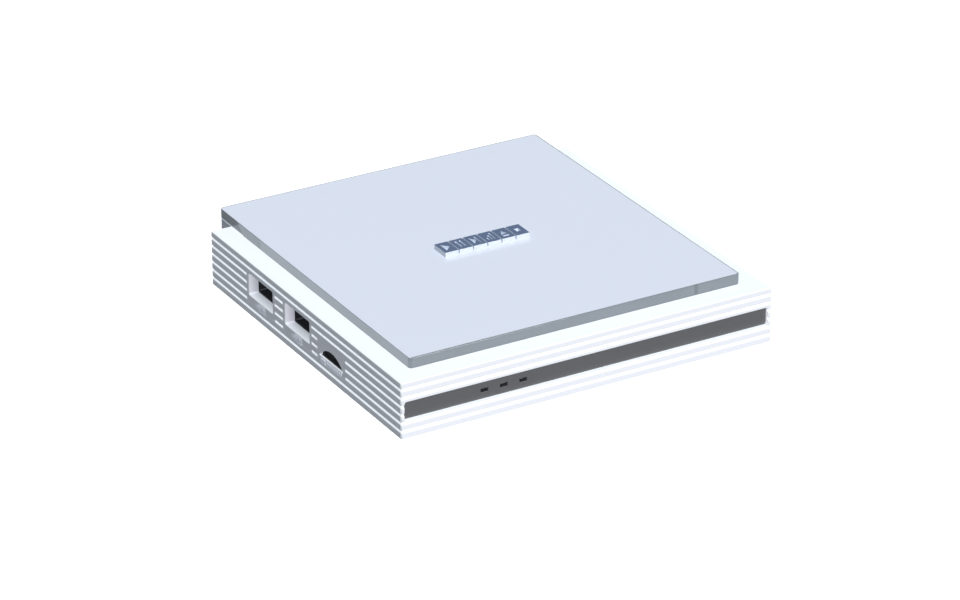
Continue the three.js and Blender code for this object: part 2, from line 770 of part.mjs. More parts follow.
function cardSocketCover() {
  const low = -SOCKET.lane / 2 - SOCKET.wall - 0.25;
  const high = SOCKET.lane / 2 + SOCKET.sliderLane + SOCKET.wall + 0.25;
  const sheet = box([0.4, SOCKET.length], [low, high], [0.05, SOCKET.height + 0.2]);
  const under = box([-1, SOCKET.length + 1], [low + 0.23, high - 0.23], [-1, SOCKET.height]);
  const springs = [-3.2, 0, 3.2].map((y) =>
    box([8.5, 12], about(y, 0.9), [SOCKET.height - 1, SOCKET.height + 1]),
  );
  return cut(sheet, under, ...springs);
}

// The slider's arm runs beside the card, and its hook stands behind the card's inner end.
function cardSlider() {
  const z = [SOCKET.tray + 0.1, SOCKET.height - 0.15];
  const lane = SOCKET.lane / 2;
  const arm = box([6.2, 12.5], [lane + 0.1, lane + SOCKET.sliderLane - 0.15], z);
  const hook = box([12, 12.5], [lane - 2.4, lane + 0.3], z);
  return join(arm, hook);
}

const socketPlace = [SOCKET.x, CARD.y, BOARD_TOP];
add(electronics, "card_socket_body", cardSocketBody(), "black", socketPlace);
add(electronics, "card_socket_cover", cardSocketCover(), "nickel", socketPlace);
add(electronics, "card_slider", cardSlider(), "amber", socketPlace);

// ---------------------------------------------------------------- rear connectors

const rearSpan = (port) => [PORT_BACK - port.depth, PORT_BACK];

function ethernetShield() {
  const [back, front] = rearSpan(ETHERNET);
  const x = (grow) => about(ETHERNET.x, ETHERNET.width + grow);
  const z = (grow) => about(ETHERNET.z, ETHERNET.height + grow);
  return cut(box(x(0), [back, front], z(0)), box(x(-0.7), [back + 0.35, front + 1], z(-0.7)));
}

function ethernetInsert() {
  const [back, front] = rearSpan(ETHERNET);
  const x = ETHERNET.x;
  const z = ETHERNET.z;
  const body = box(
    about(x, ETHERNET.width - 0.8),
    [back + 0.4, front - 0.2],
    about(z, ETHERNET.height - 0.8),
  );
  const mouth = [front - 12.5, front + 1];
  const plug = box(about(x, 11.8), mouth, [z - 2.2, z + 4.6]);
  const latch = box(about(x, 6.2), mouth, [z - 3.7, z]);
  const latchTip = box(about(x, 3.4), mouth, [z - 4.7, z]);
  let insert = cut(body, plug, latch, latchTip);
  for (let index = 0; index < 8; index += 1) {
    const middle = x + (index - 3.5) * 1.02;
    insert = insert.add(box(about(middle, 0.4), [mouth[0] - 0.5, front - 5], [z + 3, z + 4.8]));
  }
  return insert;
}

function hdmiShell() {
  const [back, front] = [PORT_BACK - HDMI.depth, PORT_BACK - 0.1];
  const outer = prismY(hdmiOutline(0), [back, front]);
  return cut(outer, prismY(hdmiOutline(-0.35), [back - 1, front + 1]));
}

function hdmiTongue() {
  const [back, front] = [PORT_BACK - HDMI.depth + 0.2, PORT_BACK - 0.9];
  const block = prismY(hdmiOutline(-0.4), [back, back + 2.6]);
  const tongue = box(about(HDMI.x, 11.6), [back + 2, front], about(BOARD_TOP + 3, 0.9));
  return join(block, tongue);
}

function avJack() {
  const [back, front] = rearSpan(AV);
  const body = box(
    about(AV.x, AV.width),
    [back, BACK - PANEL.wall - 0.2],
    [BOARD_TOP, BOARD_TOP + AV.height],
  );
  const nose = prismY(circle(AV.x, AV_Z, AV.nose), [BACK - PANEL.wall - 1, front], 16);
  const flat = box(about(AV.x, 10), [back, BACK], [BOARD_TOP - 2, BOARD_TOP]);
  const bore = prismY(circle(AV.x, AV_Z, AV.bore), [back + 0.8, front + 1], 16);
  return cut(join(body, nose), flat, bore);
}

const DC_FLOOR = PORT_BACK - 9.6; // inner end of the power jack's bore

function dcJackBody() {
  const [back, front] = rearSpan(DC);
  const body = box(about(DC.x, DC.width), [back, BACK - PANEL.wall - 0.2], about(DC.z, DC.height));
  const nose = prismY(circle(DC.x, DC.z, DC.nose), [BACK - PANEL.wall - 1, front], 20);
  const bore = prismY(circle(DC.x, DC.z, DC.bore), [DC_FLOOR, front + 1], 20);
  const pinHole = prismY(circle(DC.x, DC.z, 1.05), [DC_FLOOR - 1.5, DC_FLOOR + 1], 12);
  return cut(join(body, nose), bore, pinHole);
}

function dcPin() {
  const length = PORT_BACK - 1.2 - (DC_FLOOR - 1.4);
  const pin = turned(
    [
      [0, 0],
      [1, 0],
      [1, length - 0.5],
      [0.6, length],
      [0, length],
    ],
    16,
  );
  return pin.rotate([-90, 0, 0]);
}

const SHUTTER = {
  width: 7.4,
  thickness: 0.7,
  barrel: 0.42,
  pivotY: PORT_BACK - 0.95,
  pivotZ: 11.75,
};

function opticalBody() {
  const [back, front] = rearSpan(OPTICAL);
  const outer = roundedRect(OPTICAL.x, OPTICAL.z, OPTICAL.size, OPTICAL.size, 0.3);
  const cavity = roundedRect(OPTICAL.x, OPTICAL.z, OPTICAL.cavity, OPTICAL.cavity, 0.3);
  const fibre = prismY(circle(OPTICAL.x, OPTICAL.z, 1.2), [back + 1, front], 14);
  const hinge = prismX(circle(SHUTTER.pivotY, SHUTTER.pivotZ, 0.42), about(OPTICAL.x, 9), 12);
  return cut(
    prismY(outer, [back, front]),
    prismY(cavity, [front - 9, front + 1]),
    fibre,
    hinge,
  );
}

// The spring-loaded door: a leaf below a round barrel, with a thin pin at each end.
function opticalShutter() {
  const { width, thickness, barrel, pivotY, pivotZ } = SHUTTER;
  const leaf = box(
    about(OPTICAL.x, width),
    about(pivotY, thickness),
    [OPTICAL.z - OPTICAL.cavity / 2 + 0.3, pivotZ],
  );
  const roll = prismX(circle(pivotY, pivotZ, barrel), about(OPTICAL.x, width), 12);
  const pins = prismX(circle(pivotY, pivotZ, 0.3), about(OPTICAL.x, 8.6), 10);
  return join(leaf, roll, pins);
}

add(electronics, "ethernet_shield", ethernetShield(), "nickel");
add(electronics, "ethernet_insert", ethernetInsert(), "black");
add(electronics, "hdmi_shell", hdmiShell(), "nickel");
add(electronics, "hdmi_tongue", hdmiTongue(), "black");
add(electronics, "av_jack", avJack(), "black");
add(electronics, "dc_jack_body", dcJackBody(), "black");
add(electronics, "dc_pin", dcPin(), "nickel", [DC.x, DC_FLOOR - 1.4, DC.z]);
add(electronics, "optical_body", opticalBody(), "black");
add(electronics, "optical_shutter", opticalShutter(), "black");

// ---------------------------------------------------------------- reset switch

// Both hang under the board, over the pinhole in the base; z = 0 at the board's underside.
function resetSwitch() {
  const body = chip(4.2, 4.2, 1.5).rotate([180, 0, 0]);
  const chamber = prismZ(circle(0, 0, 1.35), [-1.2, -0.25], 14);
  const mouth = prismZ(circle(0, 0, 0.9), [-3, -0.3], 14);
  return cut(body, chamber, mouth);
}

const resetButton = () =>
  turned([
    [0, -2.1],
    [0.65, -2.1],
    [0.75, -2],
    [0.75, -1.15],
    [1.2, -1.15],
    [1.2, -0.65],
    [0, -0.65],
  ], 16);

const resetPlace = [RESET.x, RESET.y, BOARD_BOTTOM];
add(electronics, "reset_switch", resetSwitch(), "package", resetPlace);
add(electronics, "reset_button", resetButton(), "amber", resetPlace);

export default player;
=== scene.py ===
"""Looks for a square streaming media player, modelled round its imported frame.

The modelling works in millimetres, in the frame's axes: the infra-red window faces -Y, the USB
ports face -X, and the feet stand on z = 0. A piece is scaled to metres when it is finished.
"""

import math

import bmesh
import bpy
from bpy.props import FloatProperty, FloatVectorProperty, PointerProperty
from mathutils import Matrix, Vector


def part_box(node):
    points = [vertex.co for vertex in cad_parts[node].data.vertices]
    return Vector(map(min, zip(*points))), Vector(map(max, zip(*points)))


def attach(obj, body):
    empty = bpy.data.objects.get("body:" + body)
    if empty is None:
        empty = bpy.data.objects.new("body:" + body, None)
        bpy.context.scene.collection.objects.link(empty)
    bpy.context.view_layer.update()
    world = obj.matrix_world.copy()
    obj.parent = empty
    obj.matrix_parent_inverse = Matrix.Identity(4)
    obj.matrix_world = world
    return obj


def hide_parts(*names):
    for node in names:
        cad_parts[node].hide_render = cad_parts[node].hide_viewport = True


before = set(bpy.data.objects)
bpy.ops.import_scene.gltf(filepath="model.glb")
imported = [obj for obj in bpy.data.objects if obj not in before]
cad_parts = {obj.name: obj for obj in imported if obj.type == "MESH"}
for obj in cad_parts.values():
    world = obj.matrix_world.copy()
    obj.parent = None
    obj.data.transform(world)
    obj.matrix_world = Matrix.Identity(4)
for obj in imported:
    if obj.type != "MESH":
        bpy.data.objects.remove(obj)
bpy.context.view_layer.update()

bl_info = {
    "name": "Streaming media player",
    "version": (1, 0, 0),
    "blender": (4, 5, 0),
    "location": "View3D > Sidebar > Media player",
    "description": "Builds the visible pieces of a small streaming media player",
    "category": "Add Mesh",
}

MM = 0.001
WIDEST_FACET = 0.6  # a face wider than this, in millimetres, is flat and not part of a curve
SMOOTH_TO = math.radians(32)
SHARP_FROM = math.radians(35)
FACING = {
    "X": Matrix(((0, 0, 1, 0), (1, 0, 0, 0), (0, 1, 0, 0), (0, 0, 0, 1))),
    "Y": Matrix(((1, 0, 0, 0), (0, 0, 1, 0), (0, 1, 0, 0), (0, 0, 0, 1))),
    "Z": Matrix.Identity(4),
}


# --- sizes and colours a user sets


def length(name, description, default_mm):
    return FloatProperty(name=name, description=description, default=default_mm * MM, unit="LENGTH")


def colour(name, description, default):
    return FloatVectorProperty(
        name=name, description=description, default=default, subtype="COLOR", size=3, min=0, max=1
    )


def amount(name, description, default, subtype="NONE"):
    return FloatProperty(name=name, description=description, default=default, subtype=subtype)


class PlayerSizes(bpy.types.PropertyGroup):
    rib_height: length("Rib height", "Upright face of one rib", 1.515)
    groove_depth: length("Groove depth", "How deep the grooves between the ribs are", 0.62)
    groove_slope: length("Groove slope", "Height of a groove's sloping floor", 0.5)
    rib_edge: length("Rib edge", "Radius on the edges of the ribs", 0.07)
    deck_edge: length("Deck edge", "Radius where the deck turns down into the top rib", 0.22)
    corner: length("Corner", "Radius of the upright corners of the housing", 0.35)
    plate_corner: length("Plate corner", "Radius of the clear plate's corners", 1.0)
    plate_edge: length("Plate edge", "Radius on the upper edge of the clear plate", 0.14)
    port_flare: length("Port flare", "Chamfer round the mouths of the ports", 0.16)
    groove_end: length("Groove end", "How far a groove's end slopes beside a port pad", 0.35)


class PlayerColours(bpy.types.PropertyGroup):
    shell: colour("Shell", "Moulded white of the housing", (0.80, 0.825, 0.86))
    plate: colour("Plate", "Pale blue of the clear plate over its film", (0.6, 0.636, 0.732))
    # The plate rim colour is painted light: the emission colour that the rim's material shows.
    plate_rim_painted_light: colour("Plate rim", "Light that the plate's polished rim carries", (0.185, 0.215, 0.245))
    badge: colour("Badge", "Slate tops of the raised signs", (0.08, 0.12, 0.21))
    strip: colour("Strip", "Smoked plastic of the infra-red window", (0.104, 0.105, 0.109))
    panel: colour("Panel", "Grey of the rear connector panel", (0.5, 0.54, 0.58))
    ink: colour("Ink", "Pad-printed marks beside the ports", (0.8, 0.83, 0.9))


class PlayerStage(bpy.types.PropertyGroup):
    overhead: amount("Overhead lamp", "Strength of the lamp above", 2.82)
    front: amount("Front lamp", "Strength of the lamp in front", 2.36)
    sky: amount("Sky", "Strength of the even light all round", 0.27)
    lens: amount("Lens", "Focal length of the camera in mm", 164.6)
    azimuth: amount("Azimuth", "Camera's turn about Z", math.radians(-30.06), "ANGLE")
    elevation: amount("Elevation", "Camera's height", math.radians(25.87), "ANGLE")


# --- places taken from the frame


def span(node):
    """Lowest and highest corner of a CAD node, in millimetres."""
    low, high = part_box(node)
    return low / MM, high / MM


def middle(node):
    low, high = span(node)
    return (low + high) / 2


HOUSING = span("housing")
SIDE = HOUSING[1].x
FRONT = HOUSING[0].y
BODY_BACK = HOUSING[1].y
BODY_BOTTOM = HOUSING[0].z
DECK_TOP = HOUSING[1].z
WALL = 2.7
BACK_WALL = 2.0
CEILING = DECK_TOP - 1.525
RIB_COUNT = 7
BOARD_TOP = span("main_board")[1].z
BOARD_BOTTOM = span("main_board")[0].z
BASE_BOTTOM = span("base_cover")[0].z
BASE_TOP = BASE_BOTTOM + 1.6
BACK = span("rear_io_panel")[1].y
SCREWS = [middle("case_screw_%d" % number) for number in range(1, 5)]
FEET = [middle("foot_%d" % number) for number in range(1, 5)]
USB = [middle("usb_shell_%d" % number) for number in (1, 2)]
USB_OPENING = (12.7, 5.8)
USB_PAD = 15.05
CARD_Y = span("card_socket_body")[0].y + 6.3
CARD_SLOT = {"width": 11.97, "height": 2.8, "floor": 5.755, "pad": 14.28, "lip": 0.45}
CARD_CENTRE = (CARD_Y, CARD_SLOT["floor"] + CARD_SLOT["height"] / 2 + 0.025)
LIGHT_DROP = 0.2  # how far the light guides sit below the middle of the infra-red window
RESET = middle("reset_button")
LAN = middle("ethernet_shield")
HDMI = middle("hdmi_shell")
OPTICAL = middle("optical_body")
AV_X = middle("av_jack").x
AV_Z = BOARD_TOP + 2.8
DC = middle("dc_pin")
LAN_OPENING = (16.3, 11.3)
OPTICAL_OPENING = (9.8, 9.8)
AV_NOSE = 3.0
DC_NOSE = 3.9
INK = 0.012  # how far a printed mark stands off its face
BOSS_RADIUS = 3.2
FOOT_RADIUS = 4.0
PILOT_RADIUS = 1.25
DOORWAY = {"size": (88, 11.2), "place": (0, 8.4)}  # the opening in the back that the panel fills
LABEL = {"size": (43, 15), "place": (0, -32)}
TILE = {"size": 3.8, "pitch": 4.12, "floor": 0.15}
SIDE_SIGN_LINE = 0.4
REAR_SIGN_LINE = 0.2


# --- shapes


def loft(size, radius, steps, centre=(0, 0), axis="Z", segments=6):
    """A closed body with a rounded rectangle for its outline. Each step is a place along the axis
    and how far the outline is drawn in there; a negative inset lets it grow."""
    bm = bmesh.new()
    bmesh.ops.create_grid(bm, x_segments=1, y_segments=1, size=0.5)
    bmesh.ops.scale(bm, vec=(size[0], size[1], 1), verts=bm.verts)
    if radius:
        bmesh.ops.bevel(
            bm, geom=bm.verts[:], offset=radius, offset_type="OFFSET", affect="VERTICES",
            segments=segments, profile=0.5, material=-1,
        )
    reach = max(radius, 2 * max(inset for _, inset in steps)) or min(size) / 4
    core = (size[0] / 2 - reach, size[1] / 2 - reach)
    cap = next(iter(bm.faces))
    inset_now = 0
    for number, (place, inset) in enumerate(steps):
        if number:
            made = bmesh.ops.extrude_face_region(bm, geom=[cap])["geom"]
            if number > 1:
                bmesh.ops.delete(bm, geom=[cap], context="FACES_ONLY")
            cap = next(item for item in made if isinstance(item, bmesh.types.BMFace))
        ratio = (reach - inset) / (reach - inset_now)
        for vert in cap.verts:
            held = Vector([max(-most, min(most, c)) for c, most in zip(vert.co.xy, core)])
            vert.co.xy = held + (vert.co.xy - held) * ratio
            vert.co.z = place
        inset_now = inset
    bmesh.ops.translate(bm, vec=(centre[0], centre[1], 0), verts=bm.verts)
    return faced(bm, axis)


def faced(bm, axis):
    """Turns a body made along Z to its axis, with its faces pointing out."""
    bmesh.ops.transform(bm, matrix=FACING[axis], verts=bm.verts)
    bmesh.ops.recalc_face_normals(bm, faces=bm.faces)
    return bm


def rounded(low, high, radius, steps=3):
    """Loft steps from low to high whose two rims are rounded over."""
    rim = []
    for number in range(steps + 1):
        angle = number / steps * math.pi / 2
        rim.append((radius * (1 - math.cos(angle)), radius * (1 - math.sin(angle))))
    return [(low + rise, inset) for rise, inset in rim] + [
        (high - rise, inset) for rise, inset in reversed(rim)
    ]


def block(low, high, edge=0.0):
    """A box from corner to corner; edge rounds all of its edges."""
    size = [b - a for a, b in zip(low, high)]
    bm = bmesh.new()
    bmesh.ops.create_cube(bm, size=1)
    bmesh.ops.scale(bm, vec=size, verts=bm.verts)
    bmesh.ops.translate(bm, vec=[(a + b) / 2 for a, b in zip(low, high)], verts=bm.verts)
    if edge:
        soften(bm, bm.edges[:], edge)
    return faced(bm, "Z")


def soften(bm, edges, width):
    bmesh.ops.bevel(
        bm, geom=edges, offset=width, offset_type="OFFSET", affect="EDGES", segments=2,
        profile=0.5, clamp_overlap=True, material=-1,
    )


def prism(points, low, high, axis="Z"):
    """A straight-sided outline pushed along the axis."""
    bm = bmesh.new()
    face = bm.faces.new([bm.verts.new((u, v, low)) for u, v in points])
    made = bmesh.ops.extrude_face_region(bm, geom=[face])["geom"]
    top = next(item for item in made if isinstance(item, bmesh.types.BMFace))
    bmesh.ops.translate(bm, vec=(0, 0, high - low), verts=top.verts)
    return faced(bm, axis)


def leaf(spine, half, centre, reach, axis):
    """A bent strip: a line of points made thick by half to each side, and as wide as reach allows
    on both sides of its centre."""
    outline = [(u, v - half) for u, v in spine] + [(u, v + half) for u, v in reversed(spine)]
    return prism(outline, centre - reach, centre + reach, axis)


def turned(profile, centre=(0, 0), axis="Z", steps=40, closed=False):
    """A body turned from (radius, height) points, which start and end on the axis unless closed."""
    bm = bmesh.new()
    verts = [bm.verts.new((radius, 0, height)) for radius, height in profile]
    ends = verts[1:] + (verts[:1] if closed else [])
    edges = [bm.edges.new(pair) for pair in zip(verts, ends)]
    bmesh.ops.spin(
        bm, geom=verts + edges, cent=(0, 0, 0), axis=(0, 0, 1), dvec=(0, 0, 0),
        angle=2 * math.pi, steps=steps, use_merge=True, use_duplicate=False,
    )
    bmesh.ops.remove_doubles(bm, verts=bm.verts, dist=1e-4)
    bmesh.ops.translate(bm, vec=(centre[0], centre[1], 0), verts=bm.verts)
    return faced(bm, axis)


def rod(radius, low, high, centre=(0, 0), axis="Z", steps=40):
    return turned([(0, low), (radius, low), (radius, high), (0, high)], centre, axis, steps)


def ring(radius, line, low, high, centre, axis):
    profile = [(radius - line, low), (radius, low), (radius, high), (radius - line, high)]
    return turned(profile, centre, axis, steps=36, closed=True)


def gather(*parts):
    """Several bodies held in one mesh."""
    whole = bmesh.new()
    for part in parts:
        mesh = bpy.data.meshes.new("part")
        part.to_mesh(mesh)
        part.free()
        whole.from_mesh(mesh)
        bpy.data.meshes.remove(mesh)
    return whole


def in_scene(name, data):
    """A new object of this data, linked to the scene."""
    item = bpy.data.objects.new(name, data)
    bpy.context.scene.collection.objects.link(item)
    return item


def boolean(body, tool, operation="DIFFERENCE"):
    """One body with another cut out of it, or joined to it."""
    held = []
    for source in (body, tool):
        mesh = bpy.data.meshes.new("work")
        source.to_mesh(mesh)
        source.free()
        held.append(in_scene("work", mesh))
    modifier = held[0].modifiers.new("work", "BOOLEAN")
    modifier.object = held[1]
    modifier.operation = operation
    modifier.solver = "EXACT"
    result = bmesh.new()
    result.from_object(held[0], bpy.context.evaluated_depsgraph_get())
    for item in held:
        bpy.data.meshes.remove(item.data)
    return result


def shade_faces(bm, rule):
    """Gives each face the material number that the rule picks from its normal."""
    bm.normal_update()
    for face in bm.faces:
        face.material_index = rule(face.normal)
    return bm


def make(name, bm, materials, replaced=(), body="root"):
    """Finishes a body in millimetres as a piece of the player."""
    bmesh.ops.remove_doubles(bm, verts=bm.verts, dist=1e-4)
    for face in bm.faces:
        face.smooth = 2 * face.calc_area() < WIDEST_FACET * face.calc_perimeter()
    for edge in bm.edges:
        edge.smooth = len(edge.link_faces) == 2 and edge.calc_face_angle(0) < SMOOTH_TO
    bmesh.ops.scale(bm, vec=(MM, MM, MM), verts=bm.verts)
    mesh = bpy.data.meshes.new(name)
    bm.to_mesh(mesh)
    bm.free()
    for material in materials:
        mesh.materials.append(material)
    piece = in_scene(name, mesh)
    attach(piece, body)
    if replaced:
        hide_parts(*replaced)
    return piece


def softened(node, edge):
    """A merged copy of a CAD node, in millimetres, with its sharp edges rounded."""
    bm = bmesh.new()
    bm.from_mesh(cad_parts[node].data)
    bmesh.ops.scale(bm, vec=(1 / MM, 1 / MM, 1 / MM), verts=bm.verts)
    bmesh.ops.remove_doubles(bm, verts=bm.verts, dist=1e-3)
    bmesh.ops.dissolve_limit(bm, angle_limit=math.radians(1), verts=bm.verts, edges=bm.edges)
    corners = [e for e in bm.edges if len(e.link_faces) == 2 and e.calc_face_angle(0) > SHARP_FROM]
    soften(bm, corners, edge)
    return bm


def refine(node, name, slot, edge, body="root"):
    """Replaces one CAD node with its softened copy, in the finish named after its slot."""
    return make(name, softened(node, edge), [LOOKS[slot]], [node], body)


def paint(material, *nodes):
    for node in nodes:
        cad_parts[node].material_slots[0].material = material


# --- shader groups


def new_group(name, inputs):
    """An empty group with these (label, kind, default) inputs, and a finish's three outputs."""
    tree = bpy.data.node_groups.new(name, "ShaderNodeTree")
    for label, kind, default in inputs:
        socket = tree.interface.new_socket(label, in_out="INPUT", socket_type="NodeSocket" + kind)
        socket.default_value = default
    for label, kind in (("Color", "Color"), ("Roughness", "Float"), ("Height", "Float")):
        tree.interface.new_socket(label, in_out="OUTPUT", socket_type="NodeSocket" + kind)
    return tree, tree.nodes.new("NodeGroupInput").outputs, tree.nodes.new("NodeGroupOutput").inputs


def noise(tree, vector, scale, detail=3.0):
    node = tree.nodes.new("ShaderNodeTexNoise")
    node.inputs["Detail"].default_value = detail
    tree.links.new(vector, node.inputs["Vector"])
    if isinstance(scale, (int, float)):
        node.inputs["Scale"].default_value = scale
    else:
        tree.links.new(scale, node.inputs["Scale"])
    return node.outputs["Fac"]


def maths(tree, operation, *values):
    node = tree.nodes.new("ShaderNodeMath")
    node.operation = operation
    for socket, value in zip(node.inputs, values):
        if isinstance(value, (int, float)):
            socket.default_value = value
        else:
            tree.links.new(value, socket)
    return node.outputs["Value"]


def blended(tree, share_socket, first, second):
    """A colour between two others; each is a socket or a colour."""
    node = tree.nodes.new("ShaderNodeMix")
    node.data_type = "RGBA"
    tree.links.new(share_socket, node.inputs["Factor"])
    for socket, value in zip((node.inputs[6], node.inputs[7]), (first, second)):
        if hasattr(value, "is_linked"):
            tree.links.new(value, socket)
        else:
            socket.default_value = value
    return node.outputs[2]


def darkened(tree, color, value):
    node = tree.nodes.new("ShaderNodeHueSaturation")
    node.inputs["Value"].default_value = value
    tree.links.new(color, node.inputs["Color"])
    return node.outputs["Color"]


def object_vector(tree):
    return tree.nodes.new("ShaderNodeTexCoord").outputs["Object"]


def split(tree, vector):
    """The X, Y and Z of a vector, as sockets."""
    node = tree.nodes.new("ShaderNodeSeparateXYZ")
    tree.links.new(vector, node.inputs[0])
    return node.outputs


def moulded_group():
    """Moulded plastic: a slow drift of tone, a fine grain, and a trace of dust on upward faces."""
    tree, given, result = new_group("Moulded finish", [
        ("Color", "Color", (0.8, 0.8, 0.8, 1)),
        ("Roughness", "Float", 0.4),
        ("Grain Scale", "Float", 6000),
        ("Drift", "Float", 0.04),
        ("Dust", "Float", 0.02),
    ])
    place = object_vector(tree)
    slow = noise(tree, place, 45, 2)
    amount = maths(tree, "MULTIPLY", slow, given["Drift"])
    toned = blended(tree, amount, given["Color"], darkened(tree, given["Color"], 0.72))
    facing = split(tree, tree.nodes.new("ShaderNodeNewGeometry").outputs["Normal"])
    upward = maths(tree, "MAXIMUM", facing["Z"], 0)
    specks = maths(tree, "GREATER_THAN", noise(tree, place, 900, 4), 0.61)
    dust = maths(tree, "MULTIPLY", maths(tree, "MULTIPLY", specks, upward), given["Dust"])
    tree.links.new(blended(tree, dust, toned, (0.62, 0.6, 0.57, 1)), result["Color"])
    spread = maths(tree, "MULTIPLY_ADD", slow, 0.12, -0.06)
    rough = maths(tree, "ADD", given["Roughness"], maths(tree, "ADD", spread, dust))
    tree.links.new(maths(tree, "MAXIMUM", rough, 0.02), result["Roughness"])
    tree.links.new(noise(tree, place, given["Grain Scale"], 2), result["Height"])
    return tree


def brushed_group():
    """Plated or rolled metal: streaks along one axis, and a slow stain."""
    tree, given, result = new_group("Worked metal", [
        ("Color", "Color", (0.6, 0.6, 0.6, 1)),
        ("Roughness", "Float", 0.3),
        ("Streaks", "Vector", (400, 6000, 6000)),
        ("Stain", "Float", 0.15),
    ])
    place = object_vector(tree)
    stretched = tree.nodes.new("ShaderNodeVectorMath")
    stretched.operation = "MULTIPLY"
    tree.links.new(place, stretched.inputs[0])
    tree.links.new(given["Streaks"], stretched.inputs[1])
    streaks = noise(tree, stretched.outputs["Vector"], 1, 2)
    amount = maths(tree, "MULTIPLY", noise(tree, place, 160, 3), given["Stain"])
    stained = blended(tree, amount, given["Color"], darkened(tree, given["Color"], 0.55))
    tree.links.new(stained, result["Color"])
    rough = maths(tree, "MULTIPLY_ADD", streaks, 0.16, given["Roughness"])
    tree.links.new(maths(tree, "SUBTRACT", rough, 0.08), result["Roughness"])
    tree.links.new(streaks, result["Height"])
    return tree


def finish_material(name, group, color, roughness, values, bump, metallic, constants):
    """A Principled material whose colour, roughness and bump come from a shared group. The values
    are the group's, and the constants are the shader's own."""
    material = bpy.data.materials.new(name)
    material.use_nodes = True
    tree = material.node_tree
    shader = tree.nodes["Principled BSDF"]
    made = tree.nodes.new("ShaderNodeGroup")
    made.node_tree = group
    made.inputs["Color"].default_value = (*color, 1)
    made.inputs["Roughness"].default_value = roughness
    for label, value in values.items():
        made.inputs[label].default_value = value
    tree.links.new(made.outputs["Color"], shader.inputs["Base Color"])
    tree.links.new(made.outputs["Roughness"], shader.inputs["Roughness"])
    relief = tree.nodes.new("ShaderNodeBump")
    relief.inputs["Strength"].default_value = bump
    relief.inputs["Distance"].default_value = BUMP_DEPTH * MM
    tree.links.new(made.outputs["Height"], relief.inputs["Height"])
    tree.links.new(relief.outputs["Normal"], shader.inputs["Normal"])
    shader.inputs["Metallic"].default_value = metallic
    for label, value in constants.items():
        shader.inputs[label.replace("_", " ")].default_value = value
    LOOKS[name] = material


LOOKS = {}  # the finishes made so far, by name, and the two shared groups
BUMP_DEPTH = 0.01


def moulded(name, color, roughness, grain=6000.0, drift=0.05, dust=0.02, bump=0.15, **constants):
    """A moulded plastic or rubber, made once."""
    if name not in LOOKS:
        values = {"Grain Scale": grain, "Drift": drift, "Dust": dust}
        finish_material(name, LOOKS["moulded group"], color, roughness, values, bump, 0.0, constants)
    return LOOKS[name]


def metal(name, color, roughness, streaks=(400, 6000, 6000)):
    """A plated, rolled or machined metal, made once."""
    if name not in LOOKS:
        values = {"Streaks": streaks}
        finish_material(name, LOOKS["metal group"], color, roughness, values, 0.08, 1.0, {})
    return LOOKS[name]


def tinted(color, share_of_it):
    return (*[share_of_it * c for c in color], 1)


# Places of the rim's painted light and shade: the slant of the painted dark stretch behind, how far it
# and the painted duller stretch reach, the height of the painted foot line, and the painted corner
# line's distance from the right end.
RIM = {"slant": 1.3, "dark_reach": 7.0, "painted_shade_reach": 16.5, "foot_line": 0.32, "painted_corner_line": 12.9}


def plate_rim_painted_light(color):
    """The polished rim of the plate, with painted light: a dark base under an emission that paints
    the light the acrylic carries, with a slow random drift in it. Past the back of the housing there
    is no white deck under it, so that stretch is painted darker, with a painted pale line along its
    lower edge. Elsewhere the lower edge has a painted darker line, the stretch beside the back is
    painted duller, and a painted thin dark line near the far end stands for the far corner seen
    through the rim."""
    low, high = span("top_cover")
    material = moulded("plate_rim_painted_light", (0.05, 0.055, 0.06), 0.12, grain=900, drift=0.3, Coat_Weight=0.3)
    tree = material.node_tree
    shader = tree.nodes["Principled BSDF"]
    vector = object_vector(tree)
    place = split(tree, vector)
    slanted = maths(tree, "MULTIPLY_ADD", place["Z"], -RIM["slant"], place["Y"])
    dark_from = BODY_BACK - RIM["slant"] * DECK_TOP - RIM["dark_reach"]
    behind = maths(tree, "GREATER_THAN", slanted, dark_from * MM)
    beside = maths(tree, "GREATER_THAN", place["Y"], (BODY_BACK - RIM["painted_shade_reach"]) * MM)
    foot_line = maths(tree, "LESS_THAN", place["Z"], (low.z + RIM["foot_line"]) * MM)
    across = maths(tree, "COMPARE", place["X"], (high.x - RIM["painted_corner_line"]) * MM, 0.5 * MM)
    drift = noise(tree, vector, 60, 1)
    # Painted light: the emission is darker along the painted foot line, at the painted corner line and
    # beside the back, and painted dark behind the housing with a pale painted line at its foot.
    lit = blended(tree, drift, tinted(color, 0.9), tinted(color, 1.1))
    lit = blended(tree, foot_line, lit, tinted(color, 0.85))
    lit = blended(tree, across, lit, tinted(color, 0.7))
    lit = blended(tree, beside, lit, tinted(color, 0.78))
    dark = blended(tree, foot_line, tinted(color, 0.38), tinted(color, 2.3))
    tree.links.new(blended(tree, behind, lit, dark), shader.inputs["Emission Color"])
    shader.inputs["Emission Strength"].default_value = 1.0
    return material


